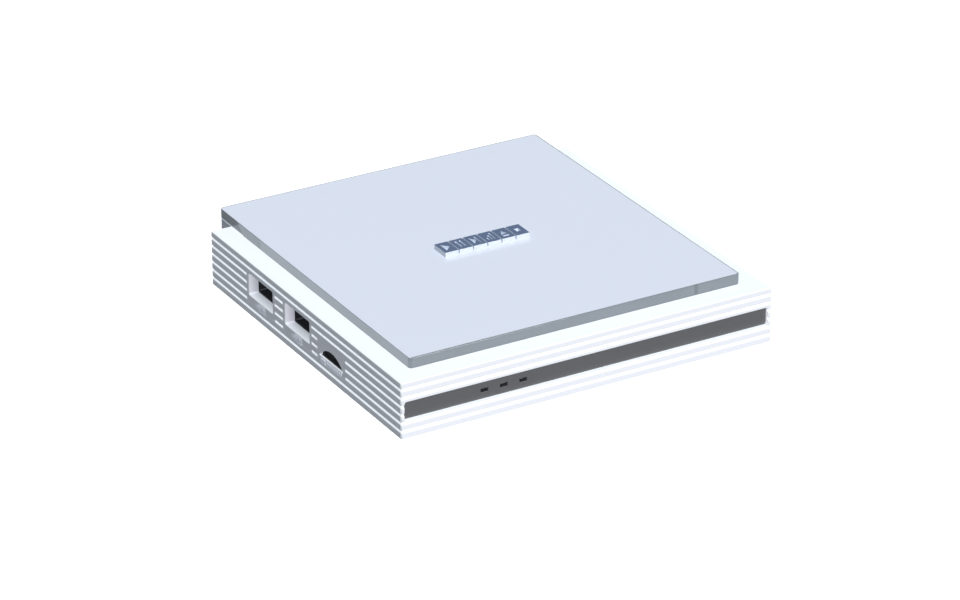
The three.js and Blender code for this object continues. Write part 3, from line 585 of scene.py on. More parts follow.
def port_painted_shade():
    """Painted shade inside the ports' mouths: the walls are painted darker towards their inner end,
    and the card slot is painted black behind its lip."""
    material = moulded("port_painted_shade", (0.5, 0.5, 0.5), 0.5, drift=0.03, dust=0.0)
    tree = material.node_tree
    place = split(tree, object_vector(tree))
    inward = tree.nodes.new("ShaderNodeMapRange")
    inward.inputs["From Min"].default_value = -SIDE * MM
    inward.inputs["From Max"].default_value = (-SIDE + WALL) * MM
    tree.links.new(place["X"], inward.inputs["Value"])
    # Painted shade: darker towards the inner end of each mouth, and painted black behind the card
    # slot's lip.
    shade = blended(tree, inward.outputs["Result"], (0.62, 0.64, 0.69, 1), (0.36, 0.37, 0.41, 1))
    behind_lip = maths(tree, "GREATER_THAN", place["X"], (-SIDE + CARD_SLOT["lip"]) * MM)
    at_card = maths(tree, "COMPARE", place["Y"], CARD_Y * MM, CARD_SLOT["pad"] / 2 * MM)
    shade = blended(tree, maths(tree, "MULTIPLY", behind_lip, at_card), shade, (0.008, 0.008, 0.01, 1))
    group = next(node for node in tree.nodes if node.type == "GROUP")
    tree.links.new(shade, group.inputs["Color"])
    return material


# --- housing


def rib_steps(sizes):
    """Outside of the shell from its lower edge to the deck: upright ribs, and above each a groove
    whose floor slopes in and up to a short upright back under the next rib."""
    given = (sizes.rib_height, sizes.groove_depth, sizes.groove_slope, sizes.rib_edge, sizes.deck_edge)
    height, depth, slope, edge, deck = [value / MM for value in given]
    pitch = (DECK_TOP - BODY_BOTTOM - height) / (RIB_COUNT - 1)
    steps = []
    for number in range(RIB_COUNT):
        bottom = BODY_BOTTOM + number * pitch
        top = bottom + height
        if number:
            steps.append((bottom, depth))
        steps += rounded(bottom, top, edge)[:4]
        if number < RIB_COUNT - 1:
            steps += [(top - edge, 0), (top - 0.1 * edge, 0.2 * edge)]
            steps += [(top + 0.5 * edge, 0.5 * edge * depth / slope), (top + slope, depth)]
    return steps + rounded(bottom, DECK_TOP, deck, 4)[5:]


def port_pad(y, width, low, high, sizes):
    """A flat pad that fills the grooves round a port, from the rib at index low to that at high."""
    pitch = (DECK_TOP - BODY_BOTTOM - sizes.rib_height / MM) / (RIB_COUNT - 1)
    bottom, top = (BODY_BOTTOM + n * pitch + sizes.rib_height / MM / 2 for n in (low, high))
    grown = -sizes.groove_end / MM
    steps = [
        (-SIDE + INK, 0),
        (-SIDE + sizes.groove_depth / MM, grown),
        (-SIDE + WALL - 0.1, grown),
    ]
    return loft((width, top - bottom), 0, steps, (y, (bottom + top) / 2), "X")


def mouth_steps(outer, inner, flare, sign):
    """Steps of a port's cutter: straight inside, and flared where it leaves the outer face."""
    return [(outer - sign, -flare - 1), (outer + sign * flare, 0), (inner, 0)]


def card_arch(low, high, grow=0.0):
    """The card slot's mouth: a flat floor under an arched top."""
    half = CARD_SLOT["width"] / 2 + grow
    rise = CARD_SLOT["height"] + 1.6 * grow
    radius = (half * half + rise * rise) / (2 * rise)
    floor = CARD_SLOT["floor"] - 0.6 * grow
    reach = math.asin(half / radius)
    points = []
    for number in range(33):
        angle = math.pi / 2 - reach + number / 32 * 2 * reach
        height = floor + rise - radius + radius * math.sin(angle)
        points.append((CARD_Y + radius * math.cos(angle), height))
    return prism(points, low, high, "X")


def housing(sizes):
    """The ribbed shell with its port pads, cavity and openings."""
    centre = (0, (FRONT + BODY_BACK) / 2)
    corner = sizes.corner / MM
    flare = sizes.port_flare / MM
    shell = loft((2 * SIDE, BODY_BACK - FRONT), corner, rib_steps(sizes), centre, segments=8)
    pads = [port_pad(port.y, USB_PAD, 1, 5, sizes) for port in USB]
    pads.append(port_pad(CARD_Y, CARD_SLOT["pad"], 1, 4, sizes))
    shell = boolean(shell, gather(*pads), "UNION")
    inside = (2 * (SIDE - WALL), BODY_BACK - BACK_WALL - FRONT - WALL)
    cavity_y = (FRONT + WALL + BODY_BACK - BACK_WALL) / 2
    shell = boolean(shell, loft(inside, 0.8, [(BODY_BOTTOM - 1, 0), (CEILING, 0)], (0, cavity_y)))
    bosses = [rod(BOSS_RADIUS, BOARD_TOP, CEILING + 0.5, place.xy) for place in SCREWS]
    shell = boolean(shell, gather(*bosses), "UNION")
    window = span("ir_window")
    window_z = middle("ir_window").z
    tools = [rod(PILOT_RADIUS, BOARD_TOP - 1, CEILING - 1, place.xy) for place in SCREWS]
    for port in USB:
        steps = mouth_steps(-SIDE + INK, -SIDE + WALL + 1, flare, 1)
        tools.append(loft(USB_OPENING, 0.35, steps, (port.y, port.z), "X"))
    tools.append(card_arch(-SIDE - 1, -SIDE + WALL + 1))
    pocket = (window[1].x - window[0].x + 0.2, window[1].z - window[0].z + 0.2)
    tools.append(loft(pocket, 0.6, [(FRONT - 1, 0), (window[1].y, 0)], (0, window_z), "Y"))
    doorway = [(BODY_BACK - BACK_WALL - 1, 0), (BODY_BACK + 1, 0)]
    tools.append(loft(DOORWAY["size"], 0.5, doorway, DOORWAY["place"], "Y"))
    shell = boolean(shell, gather(*tools))
    bevel = card_arch(-SIDE - 1, -SIDE + 0.1, 0.14)
    slot = loft((68, 3.2), 0.3, [(window[1].y - 0.5, 0), (FRONT + WALL + 1, 0)], (0, window_z), "Y")
    pocket = (CARD_SLOT["pad"] - 0.4, CARD_SLOT["height"] + 0.75)
    behind_lip = [(-SIDE + CARD_SLOT["lip"], 0), (-SIDE + WALL + 1, 0)]
    card_pocket = loft(pocket, 0.2, behind_lip, CARD_CENTRE, "X")
    shell = boolean(shell, gather(bevel, slot, card_pocket))
    mark_recesses(shell)
    return shell


def mark_recesses(shell):
    """Marks the walls inside the ports' mouths for the painted shade material, and the end walls of
    the window's pocket for the painted glow material.
    """
    mouths = [(port.y, port.z, 6.6, 3.1) for port in USB]
    mouths.append((CARD_Y, CARD_SLOT["floor"] + 1.3, 6.4, 1.8))
    shell.normal_update()
    for face in shell.faces:
        place = face.calc_center_median()
        for y, z, reach_y, reach_z in mouths:
            near = abs(place.y - y) < reach_y and abs(place.z - z) < reach_z
            if near and -SIDE + 0.1 < place.x < -SIDE + WALL:
                face.material_index = 1
        window_end = abs(place.x) > span("ir_window")[1].x and abs(face.normal.x) > 0.9
        if window_end and FRONT < place.y < FRONT + 1:
            face.material_index = 2


# --- clear plate and badge


def clear_plate(sizes):
    """The slab with a shallow recess underneath for the film."""
    low, high = span("top_cover")
    film_low, film_high = span("cover_film")
    centre = (0, (low.y + high.y) / 2)
    edge = sizes.plate_edge / MM
    upper = rounded(low.z, high.z - 0.04, edge, 4)[5:] + [(high.z, edge + 0.24)]
    steps = [(low.z, 0.04), (low.z + 0.04, 0)] + upper
    plate = loft((high.x - low.x, high.y - low.y), sizes.plate_corner / MM, steps, centre, segments=12)
    hollow = (film_high.x - film_low.x + 0.02, film_high.y - film_low.y + 0.02)
    recess = loft(hollow, 0.4, [(low.z - 1, 0), (film_high.z + 0.005, 0)], centre)
    plate = boolean(plate, recess)
    # Faces that don't face straight up or down take the rim material with its painted light; on the
    # left-facing bevels the rim starts lower down.
    return shade_faces(plate, lambda normal: int(abs(normal.z) < (0.9 if normal.x < -0.1 else 0.995)))


def bar(x, across, low, high):
    return [(x, low), (x + across, low), (x + across, high), (x, high)]


def badge_signs():
    """Six raised tiles cut through with transport signs, left to right: play, pause, next, levels,
    eject and stop; and the thin carrier under them."""
    low, high = span("badge")
    depth, middle_y = high.y - low.y, (low.y + high.y) / 2
    cell, floor, half = TILE["size"], low.z + TILE["floor"], 1.75
    signs = [
        [[(1.1, -half), (2.8, 0), (1.1, half)]],
        [bar(1.05, 0.5, -half, half), bar(2.25, 0.5, -half, half)],
        [[(0.95, -half), (2.25, 0), (0.95, half)], bar(2.45, 0.4, -half, half)],
        [bar(0.85, 0.4, -half, -0.3), bar(1.7, 0.4, -half, 0.8), bar(2.55, 0.4, -half, half)],
        [[(1, -0.5), (2.8, -0.5), (1.9, 1.4)], bar(1, 1.8, -half, -1.2)],
        [bar(1.3, 1.2, -0.8, 0.8)],
    ]
    tiles, cutters = [], []
    for number, outlines in enumerate(signs):
        left = low.x + number * TILE["pitch"]
        steps = [(low.z, 0)] + rounded(low.z, high.z, 0.05, 2)[3:]
        tiles.append(loft((cell, depth), 0.2, steps, (left + cell / 2, middle_y)))
        for outline in outlines:
            placed = [(left + u, middle_y + v) for u, v in outline]
            cutters.append(prism(placed, floor, high.z + 1))
    tiles = boolean(gather(*tiles), gather(*cutters))
    shade_faces(tiles, lambda normal: 0 if normal.z > 0.6 else 1)
    for face in tiles.faces:
        if face.calc_center_median().z < floor + 0.05:
            face.material_index = 2
    carrier = loft((high.x - low.x, depth), 0.3, rounded(low.z, floor, 0.06), middle("badge").xy)
    return tiles, shade_faces(carrier, lambda normal: 2)


# --- base, feet and screws


def base_cover():
    low, high = span("base_cover")
    size = (high.x - low.x, high.y - low.y)
    centre = (0, (low.y + high.y) / 2)
    base = loft(size, 0.8, rounded(BASE_BOTTOM, BASE_TOP, 0.2), centre)
    posts = [rod(BOSS_RADIUS, BASE_BOTTOM + 0.3, BOARD_BOTTOM, place.xy) for place in SCREWS]
    base = boolean(base, gather(*posts), "UNION")
    tools = []
    for place in SCREWS:
        tools.append(turned([(0, 0), (3.4, 0), (2.4, BASE_BOTTOM + 0.3), (2.4, BASE_BOTTOM + 1.9),
                             (1.3, BASE_BOTTOM + 1.9), (1.3, BOARD_TOP), (0, BOARD_TOP)], place.xy))
    tools += [rod(FOOT_RADIUS + 0.2, 0, BASE_BOTTOM + 0.6, place.xy, steps=48) for place in FEET]
    for x in (-18, 18):
        for row in range(8):
            steps = mouth_steps(BASE_BOTTOM, BASE_TOP + 1, 0.2, 1)
            tools.append(loft((20, 1.6), 0.78, steps, (x, -14 + 4 * row)))
    bed = [side + 1 for side in LABEL["size"]]
    tools.append(loft(bed, 1.5, [(0, 0), (BASE_BOTTOM + 0.2, 0)], LABEL["place"]))
    tools.append(loft((1.6, 1.6), 0.79, mouth_steps(BASE_BOTTOM, BASE_TOP + 1, 0.25, 1), RESET.xy))
    return boolean(base, gather(*tools))


def foot(place):
    radius, top = FOOT_RADIUS, BASE_BOTTOM + 0.6
    profile = [(0, 0.25), (1.9, 0.25), (2.1, 0), (radius - 0.6, 0), (radius - 0.25, 0.06)]
    profile += [(radius - 0.06, 0.25), (radius, 0.6), (radius, top), (0, top)]
    return turned(profile, place.xy, steps=48)


def screw(node):
    """A pan-head case screw with a cross recess."""
    low, high = span(node)
    z, place = low.z, middle(node).xy
    body = turned([(0, z), (1.7, z), (1.95, z + 0.1), (2.1, z + 0.4), (2.1, z + 1.3), (1.1, z + 1.3),
                   (1.1, high.z), (0, high.z)], place)
    for across, deep in ((2.6, 0.55), (0.55, 2.6)):
        reach = Vector((across / 2, deep / 2))
        body = boolean(body, block((*place - reach, z - 1), (*place + reach, z + 0.75)))
    return body


# --- connectors


def usb_shell(port):
    """A stamped receptacle: flared mouth, and four sprung tabs pressed in from slots."""
    low, high = span("usb_shell_%d" % (USB.index(port) + 1))
    wall, size = 0.3, (high.y - low.y, high.z - low.z)
    inner = (size[0] - 2 * wall, size[1] - 2 * wall)
    shell = loft(size, 0.5, [(low.x, 0), (high.x, 0)], (port.y, port.z), "X")
    bore = [(low.x - 0.5, -0.6), (low.x + 0.12, 0), (high.x + 1, 0)]
    shell = boolean(shell, loft(inner, 0.25, bore, (port.y, port.z), "X"))
    slots, tabs = [], []
    for side in (-2.7, 2.7):
        for z, inward in ((low.z, 1), (high.z, -1)):
            y = port.y + side
            slots.append(block((low.x + 3.8, y - 1.05, z - 0.6), (low.x + 9, y + 1.05, z + 0.6)))
            outer = z + inward * wall / 2
            spine = [(9, 0), (5.2, inward * 0.55), (4, inward * 0.1)]
            tabs.append(leaf([(low.x + u, outer + v) for u, v in spine], 0.08, y, 0.9, "Y"))
    return gather(boolean(shell, gather(*slots)), *tabs)


def usb_contacts(port):
    """Four gilt strips on the underside of the tongue."""
    low = span("usb_shell_%d" % (USB.index(port) + 1))[0]
    strips = []
    for number in range(4):
        y = port.y + (-3.5, -1, 1, 3.5)[number]
        start = low.x + (1.4 if number in (0, 3) else 2.2)
        strips.append(block((start, y - 0.5, low.z + 2.88), (low.x + 9.5, y + 0.5, low.z + 3.05), 0.04))
    return gather(*strips)


def card_contacts():
    low = span("card_socket_body")[0]
    spine = [(low.x + 3, low.z + 0.52), (low.x + 6.4, low.z + 0.95), (low.x + 7.2, low.z + 0.8)]
    return gather(*[leaf(spine, 0.05, CARD_Y + 1.1 * (n - 3.5), 0.28, "Y") for n in range(8)])


def card_gasket():
    """Foam between the housing and the card socket, slit for the card."""
    size = (CARD_SLOT["pad"] - 0.5, CARD_SLOT["height"] + 0.7)
    back = span("card_socket_body")[0].x - 0.05
    foam = loft(size, 0.2, [(-SIDE + 1.3, 0), (back, 0)], CARD_CENTRE, "X")
    way_in = [(-SIDE, -0.5), (-SIDE + 1.5, 0), (back + 1, 0)]
    return boolean(foam, loft((11.2, 1.0), 0.2, way_in, (CARD_Y, BOARD_TOP + 1.0), "X"))


def lan_contacts():
    """Eight sprung wires that slope down from the roof of the jack."""
    front = span("ethernet_shield")[1].y
    spine = [(front - 4.6, LAN.z + 4.5), (front - 10.5, LAN.z + 1.9), (front - 12.4, LAN.z + 1.7)]
    return gather(*[leaf(spine, 0.14, LAN.x + 1.02 * (n - 3.5), 0.17, "X") for n in range(8)])


def hdmi_contacts():
    low, high = span("hdmi_tongue")
    strips = []
    for number in range(10):
        x = HDMI.x - 4.5 + number
        for z in (BOARD_TOP + 2.5, BOARD_TOP + 3.42):
            strips.append(block((x - 0.22, low.y + 2.8, z), (x + 0.22, high.y - 0.5, z + 0.08)))
    return gather(*strips)


def hdmi_outline(grow):
    half, low, high = 7.5 + grow, BOARD_TOP - grow, BOARD_TOP + 5.6 + grow
    return [
        (HDMI.x - half + 2, low), (HDMI.x + half - 2, low), (HDMI.x + half, low + 1.7),
        (HDMI.x + half, high), (HDMI.x - half, high), (HDMI.x - half, low + 1.7),
    ]


def rear_panel():
    """The connector panel: a shallow tray with flared openings."""
    low, high = span("rear_io_panel")
    size, centre = (high.x - low.x, high.z - low.z), (0, (low.z + high.z) / 2)
    face = BACK - INK
    panel = loft(size, 0.35, [(low.y, 0)] + rounded(low.y, face, 0.25)[4:], centre, "Y")
    wall = 1.6
    hollow = (size[0] - 2 * wall, size[1] - 2 * wall)
    panel = boolean(panel, loft(hollow, 0.4, [(low.y - 1, 0), (BACK - wall, 0)], centre, "Y"))
    through = mouth_steps(face, low.y - 1, 0.2, -1)
    tools = [
        loft(LAN_OPENING, 0.3, through, (LAN.x, LAN.z), "Y"),
        loft(OPTICAL_OPENING, 0.3, through, (OPTICAL.x, OPTICAL.z), "Y"),
        rod(AV_NOSE + 0.25, low.y - 1, face + 1, (AV_X, AV_Z), "Y"),
        rod(DC_NOSE + 0.25, low.y - 1, face + 1, (DC.x, DC.z), "Y", steps=48),
        prism(hdmi_outline(0.25), low.y - 1, face + 1, "Y"),
    ]
    return boolean(panel, gather(*tools))


def round_jack(x, z, nose, bore, back, front, floor, body_size):
    """A jack with a square body and a round, bored nose."""
    shoulder = BACK - 1.8
    width, bottom, top = body_size
    body = block((x - width / 2, back, bottom), (x + width / 2, shoulder, top), 0.15)
    root = shoulder - 0.9
    barrel = [(0, root), (nose, root), (nose, front - 0.2), (nose - 0.2, front), (0, front)]
    hole = [(0, floor), (bore, floor), (bore, front - 0.25), (bore + 1.25, front + 1), (0, front + 1)]
    body = boolean(body, turned(barrel, (x, z), "Y", 48), "UNION")
    return boolean(body, turned(hole, (x, z), "Y", 48))


# --- printed marks


def box_frame(u, v, width, height, line):
    """The four bars of a rectangular frame, as outlines."""
    left, low, high = u - width / 2, v - height / 2, v + height / 2
    return [
        bar(left, width, low, low + line),
        bar(left, width, high - line, high),
        bar(left, line, low + line, high - line),
        bar(u + width / 2 - line, line, low + line, high - line),
    ]


def side_marks():
    """A plug sign under each USB port, and a card sign with a row of dashes under the card slot."""
    outlines = []
    line, z = SIDE_SIGN_LINE, 4.95
    for port in USB:
        outlines += box_frame(port.y - 0.5, z, 3.6, 2.0, line)
        outlines += [bar(port.y + 1.3, 1.6, z - 0.6, z + 0.6)]
        outlines += [bar(port.y + pin, 0.6, z - 0.3, z + 0.3) for pin in (-1.4, -0.1)]
    z = 4.65
    outlines += box_frame(CARD_Y + 4.3, z, 2.6, 1.5, line)
    outlines += [bar(CARD_Y + 3.5 + 0.55 * n, 0.3, z, z + 0.4) for n in range(3)]
    outlines += [bar(CARD_Y + 1.9 - 0.9 * n, 0.45, z - 0.75, z + 0.75) for n in range(9)]
    return gather(*[prism(outline, -SIDE, -SIDE + 2 * INK, "X") for outline in outlines])


def rear_marks():
    """Generic signs over the rear connectors, printed on the panel."""
    low, high, line = BACK - 2 * INK, BACK, REAR_SIGN_LINE
    outlines = [bar(LAN.x - 1.7, 3.4, 14.9, 15.05), bar(HDMI.x - 0.6, 1.2, 12.55, 12.7)]
    for offset in (-1.6, 0, 1.6):
        outlines += box_frame(LAN.x + offset, 14.4, 0.9, 0.6, 0.15)
    outlines += box_frame(HDMI.x, 13.6, 2.6, 1.5, line)
    outlines += [bar(AV_X - 0.1, line, 12.7, 13.9), bar(DC.x - 2.3, line, 13.75, 14.65)]
    outlines += [bar(DC.x + side * 2.2 - 0.45, 0.9, 14.1, 14.3) for side in (-1, 1)]
    rings = [(0.65, AV_X, 14.15), (0.7, OPTICAL.x, 14.3), (0.75, DC.x, 14.2)]
    parts = [prism(outline, low, high, "Y") for outline in outlines]
    parts += [ring(radius, line, low, high, (x, z), "Y") for radius, x, z in rings]
    parts += [rod(0.25, low, high, (x, z), "Y") for _, x, z in rings[1:]]
    return gather(*parts)


# --- operators


class MEDIA_OT_housing(bpy.types.Operator):
    """Mould the ribbed housing with its port pads and openings"""

    bl_idname = "media_player.housing"
    bl_label = "Ribbed housing"

    def execute(self, context):
        look = moulded("shell_white", context.scene.player_colours.shell, 0.42, drift=0.03, dust=0.0)
        shell = housing(context.scene.player_sizes)
        # The third shell material glows: painted light on the end walls of the infra-red window's
        # pocket.
        glow = {"Emission_Color": (0.9, 0.9, 0.95, 1), "Emission_Strength": 0.45}
        lit = moulded("shell_painted_glow", context.scene.player_colours.shell, 0.42, **glow)
        make("ribbed_housing", shell, [look, port_painted_shade(), lit], ["housing"])
        return {"FINISHED"}


class MEDIA_OT_plate(bpy.types.Operator):
    """Lay the polished clear plate over its tinted film"""

    bl_idname = "media_player.plate"
    bl_label = "Clear plate"

    def execute(self, context):
        colours = context.scene.player_colours
        face = moulded(
            "clear_acrylic", colours.plate, 0.1, grain=500, drift=0.02, dust=0.03, bump=0.02, IOR=1.49
        )
        looks = [face, plate_rim_painted_light(colours.plate_rim_painted_light)]
        plate = clear_plate(context.scene.player_sizes)
        make("clear_plate", plate, looks, ["top_cover"])
        paint(moulded("tint_film", (0.7, 0.76, 0.88), 0.4), "cover_film")
        return {"FINISHED"}


class MEDIA_OT_badge(bpy.types.Operator):
    """Set the raised transport signs on the plate"""

    bl_idname = "media_player.badge"
    bl_label = "Badge"

    def execute(self, context):
        slate = context.scene.player_colours.badge
        top = moulded("badge_slate", slate, 0.35, drift=0.15, Coat_Weight=0.2)
        sides = moulded("badge_sides", (0.66, 0.72, 0.8), 0.4, dust=0.0)
        signs, carrier = badge_signs()
        looks = [top, sides, LOOKS["clear_acrylic"]]
        make("raised_signs", gather(signs, carrier), looks, ["badge"])
        return {"FINISHED"}


class MEDIA_OT_window(bpy.types.Operator):
    """Fit the smoked infra-red window, its light guides and lamps"""

    bl_idname = "media_player.window"
    bl_label = "Infra-red window"

    def execute(self, context):
        smoke = moulded("smoke_strip", context.scene.player_colours.strip, 0.34, drift=0.1, dust=0.0)
        low, high = span("ir_window")
        centre = (0, (low.z + high.z) / 2)
        light_z = centre[1] - LIGHT_DROP
        size = (high.x - low.x, high.z - low.z)
        strip = loft(size, 0.5, rounded(low.y, high.y, 0.08), centre, "Y")
        guides = [middle("light_guide_%d" % number) for number in (1, 2, 3)]
        through = [(low.y - 0.5, -0.6), (low.y + 0.08, 0), (high.y + 1, 0)]
        holes = [loft((2.06, 1.06), 0.15, through, (guide.x, light_z), "Y") for guide in guides]
        make("smoked_window", boolean(strip, gather(*holes)), [smoke], ["ir_window"])
        lens = moulded("lens_black", (0.006, 0.006, 0.008), 0.18, dust=0.0)
        moulded("led_amber", (0.8, 0.6, 0.25), 0.3)
        for number, guide in enumerate(guides, 1):
            nose = loft((2, 1), 0.12, rounded(low.y + 0.1, low.y + 2.7, 0.08), (guide.x, light_z), "Y")
            near = (guide.x - 1.3, low.y + 2.5, BOARD_TOP + 0.15)
            far = (guide.x + 1.3, low.y + 3.7, light_z + 0.5)
            pipe = gather(nose, block(near, far, 0.1))
            make("light_pipe_%d" % number, pipe, [lens], ["light_guide_%d" % number])
            refine("status_led_%d" % number, "status_lamp_%d" % number, "led_amber", 0.06)
        return {"FINISHED"}


class MEDIA_OT_base(bpy.types.Operator):
    """Close the bottom with its vented cover, feet, screws and blank label"""

    bl_idname = "media_player.base"
    bl_label = "Base"

    def execute(self, context):
        white = moulded("base_white", (0.74, 0.75, 0.78), 0.5, grain=2500, bump=0.35, drift=0.06)
        make("vented_base", base_cover(), [white], ["base_cover"])
        rubber = moulded("foot_rubber", (0.025, 0.025, 0.027), 0.8, grain=3000, bump=0.5, dust=0.15)
        steel = metal("screw_steel", (0.42, 0.43, 0.45), 0.32)
        for number in range(1, 5):
            pad = foot(FEET[number - 1])
            make("rubber_foot_%d" % number, pad, [rubber], ["foot_%d" % number])
            node = "case_screw_%d" % number
            make("pan_screw_%d" % number, screw(node), [steel], [node])
        paper = moulded("label_paper", (0.6, 0.61, 0.62), 0.35, grain=1500)
        sheet = rounded(BASE_BOTTOM + 0.06, BASE_BOTTOM + 0.2, 0.03)
        label = loft(LABEL["size"], 1.2, sheet, LABEL["place"])
        make("blank_label", label, [paper])
        return {"FINISHED"}


class MEDIA_OT_side_ports(bpy.types.Operator):
    """Fit the USB receptacles, the card socket and the marks under them"""

    bl_idname = "media_player.side_ports"
    bl_label = "Side ports"

    def execute(self, context):
        metal("plated_metal", (0.36, 0.37, 0.39), 0.3)
        # The receptacles' steel is darkened far below plated steel: painted shade inside the ports.
        inside = metal("port_steel_painted_shade", (0.03, 0.032, 0.038), 0.42)
        gold = metal("gilt_contact", (0.75, 0.52, 0.2), 0.25)
        moulded("port_black", (0.008, 0.008, 0.011), 0.45, Specular_IOR_Level=0.2)
        for number, port in enumerate(USB, 1):
            name = "usb_shell_%d" % number
            make("usb_receptacle_%d" % number, usb_shell(port), [inside], [name])
            refine("usb_tongue_%d" % number, "usb_insert_%d" % number, "port_black", 0.08)
            make("usb_contacts_%d" % number, usb_contacts(port), [gold])
        refine("card_socket_body", "card_tray", "port_black", 0.05)
        refine("card_socket_cover", "card_lid", "plated_metal", 0.04)
        moulded("slider_ivory", (0.62, 0.57, 0.44), 0.4)
        refine("card_slider", "card_ejector", "slider_ivory", 0.06, "card_slider")
        make("card_contacts", card_contacts(), [gold])
        foam = moulded("gasket_foam", (0.008, 0.008, 0.01), 0.9, grain=3500, bump=0.6, dust=0.0)
        make("card_gasket", card_gasket(), [foam])
        # The marks glow a little: painted light that keeps the print bright on shaded faces.
        glow = {"Emission_Color": (0.8, 0.85, 1, 1), "Emission_Strength": 0.1}
        ink = moulded("mark_ink_glowing", context.scene.player_colours.ink, 0.5, **glow)
        make("side_marks", side_marks(), [ink])
        return {"FINISHED"}


class MEDIA_OT_rear_ports(bpy.types.Operator):
    """Fit the rear panel, its connectors and their marks"""

    bl_idname = "media_player.rear_ports"
    bl_label = "Rear panel"

    def execute(self, context):
        grey = moulded("panel_grey", context.scene.player_colours.panel, 0.5, grain=2500, bump=0.3)
        gold, black = LOOKS["gilt_contact"], LOOKS["port_black"]
        make("connector_panel", rear_panel(), [grey], ["rear_io_panel"])
        make("rear_marks", rear_marks(), [LOOKS["mark_ink_glowing"]])
        refine("ethernet_shield", "network_shield", "plated_metal", 0.08)
        refine("ethernet_insert", "network_insert", "port_black", 0.06)
        make("network_contacts", lan_contacts(), [gold])
        refine("hdmi_shell", "video_shell", "plated_metal", 0.08)
        refine("hdmi_tongue", "video_tongue", "port_black", 0.06)
        make("video_contacts", hdmi_contacts(), [gold])
        av_low, av_high = span("av_jack")
        front = av_high.y
        av_size = (6.6, BOARD_TOP + 0.02, BOARD_TOP + 5.6)
        av = round_jack(AV_X, AV_Z, AV_NOSE, 1.8, av_low.y, front, front - 11.7, av_size)
        make("audio_jack", av, [black], ["av_jack"])
        dc_low, dc_high = span("dc_jack_body")
        dc_size = (9, dc_low.z, dc_high.z)
        dc = round_jack(DC.x, DC.z, DC_NOSE, 3.2, dc_low.y, front, front - 9.6, dc_size)
        make("power_jack", dc, [black], ["dc_jack_body"])
        refine("dc_pin", "power_pin", "plated_metal", 0.05)
        refine("optical_body", "optical_socket", "port_black", 0.08)
        moulded("shutter_black", (0.018, 0.018, 0.02), 0.35)
        refine("optical_shutter", "optical_door", "shutter_black", 0.06, "optical_shutter")
        return {"FINISHED"}


class MEDIA_OT_electronics(bpy.types.Operator):
    """Give the board, its chips and the cooling their finishes"""

    bl_idname = "media_player.electronics"
    bl_label = "Electronics"

    def execute(self, context):
        moulded("solder_mask", (0.01, 0.09, 0.045), 0.35, grain=1200, drift=0.5, Coat_Weight=0.3)
        refine("main_board", "circuit_board", "solder_mask", 0.04)
        black = moulded("package_black", (0.012, 0.012, 0.014), 0.55, grain=4000, bump=0.3)
        paint(black, "soc", "ram_1", "ram_2", "flash_memory", "power_manager", "lan_transformer")
        paint(black, "reset_switch", "ir_receiver")
        metal("fin_aluminium", (0.6, 0.61, 0.62), 0.35, streaks=(6000, 300, 6000))
        refine("heat_sink", "finned_sink", "fin_aluminium", 0.12)
        paint(moulded("gap_pad", (0.28, 0.4, 0.5), 0.7, grain=2000), "thermal_pad")
        nylon = moulded("pin_nylon", (0.75, 0.74, 0.7), 0.45)
        paint(nylon, "heat_sink_pin_1", "heat_sink_pin_2")
        ferrite = moulded("ferrite", (0.06, 0.06, 0.065), 0.65, grain=3000, bump=0.4)
        paint(ferrite, "inductor_1", "inductor_2")
        paint(metal("can_aluminium", (0.62, 0.62, 0.64), 0.3), "capacitor")
        paint(LOOKS["plated_metal"], "crystal", "wifi_module")
        film = moulded("antenna_film", (0.03, 0.03, 0.032), 0.45, drift=0.3)
        paint(film, "antenna_front", "antenna_rear")
        lead = moulded("lead_black", (0.015, 0.015, 0.016), 0.5)
        paint(lead, "antenna_lead_front", "antenna_lead_rear")
        refine("reset_button", "reset_plunger", "slider_ivory", 0.05, "reset_button")
        return {"FINISHED"}


# --- stage


def sun(name, strength, spread, direction, color):
    """A soft distant lamp that casts no shadow, as a broad studio panel."""
    data = bpy.data.lights.new(name, "SUN")
    data.energy = strength
    data.angle = spread
    data.color = color
    data.use_shadow = False
    lamp = in_scene(name, data)
    lamp.rotation_mode = "QUATERNION"
    lamp.rotation_quaternion = Vector(direction).to_track_quat("Z", "Y")


def even_sky(strength):
    """Even light all round; the camera itself sees plain white."""
    world = bpy.data.worlds.new("Studio")
    bpy.context.scene.world = world
    world.use_nodes = True
    tree = world.node_tree
    light = tree.nodes["Background"]
    light.inputs["Color"].default_value = (0.93, 0.95, 1.0, 1)
    light.inputs["Strength"].default_value = strength
    seen = tree.nodes.new("ShaderNodeBackground")
    seen.inputs["Color"].default_value = (1, 1, 1, 1)
    both = tree.nodes.new("ShaderNodeMixShader")
    tree.links.new(tree.nodes.new("ShaderNodeLightPath").outputs["Is Camera Ray"], both.inputs[0])
    tree.links.new(light.outputs[0], both.inputs[1])
    tree.links.new(seen.outputs[0], both.inputs[2])
    tree.links.new(both.outputs[0], tree.nodes["World Output"].inputs["Surface"])


def table():
    """A wide pale table. It sends back less light than it shows, so that the sides stay grey."""
    bm = bmesh.new()
    bmesh.ops.create_grid(bm, x_segments=1, y_segments=1, size=4)
    mesh = bpy.data.meshes.new("table")
    bm.to_mesh(mesh)
    bm.free()
    material = bpy.data.materials.new("pale_table")
    material.use_nodes = True
    tree = material.node_tree
    shader = tree.nodes["Principled BSDF"]
    shader.inputs["Roughness"].default_value = 0.9
    shader.inputs["Specular IOR Level"].default_value = 0.0
    path = tree.nodes.new("ShaderNodeLightPath").outputs["Is Camera Ray"]
    shown = blended(tree, path, (0.25, 0.26, 0.28, 1), (0.99, 0.99, 0.99, 1))
    tree.links.new(shown, shader.inputs["Base Color"])
    mesh.materials.append(material)
    in_scene("table", mesh)


CAMERA_DISTANCE = 1105.3
CAMERA_AIM = (-1.932, 3.024)  # how far right of and above the housing's middle the view is centred


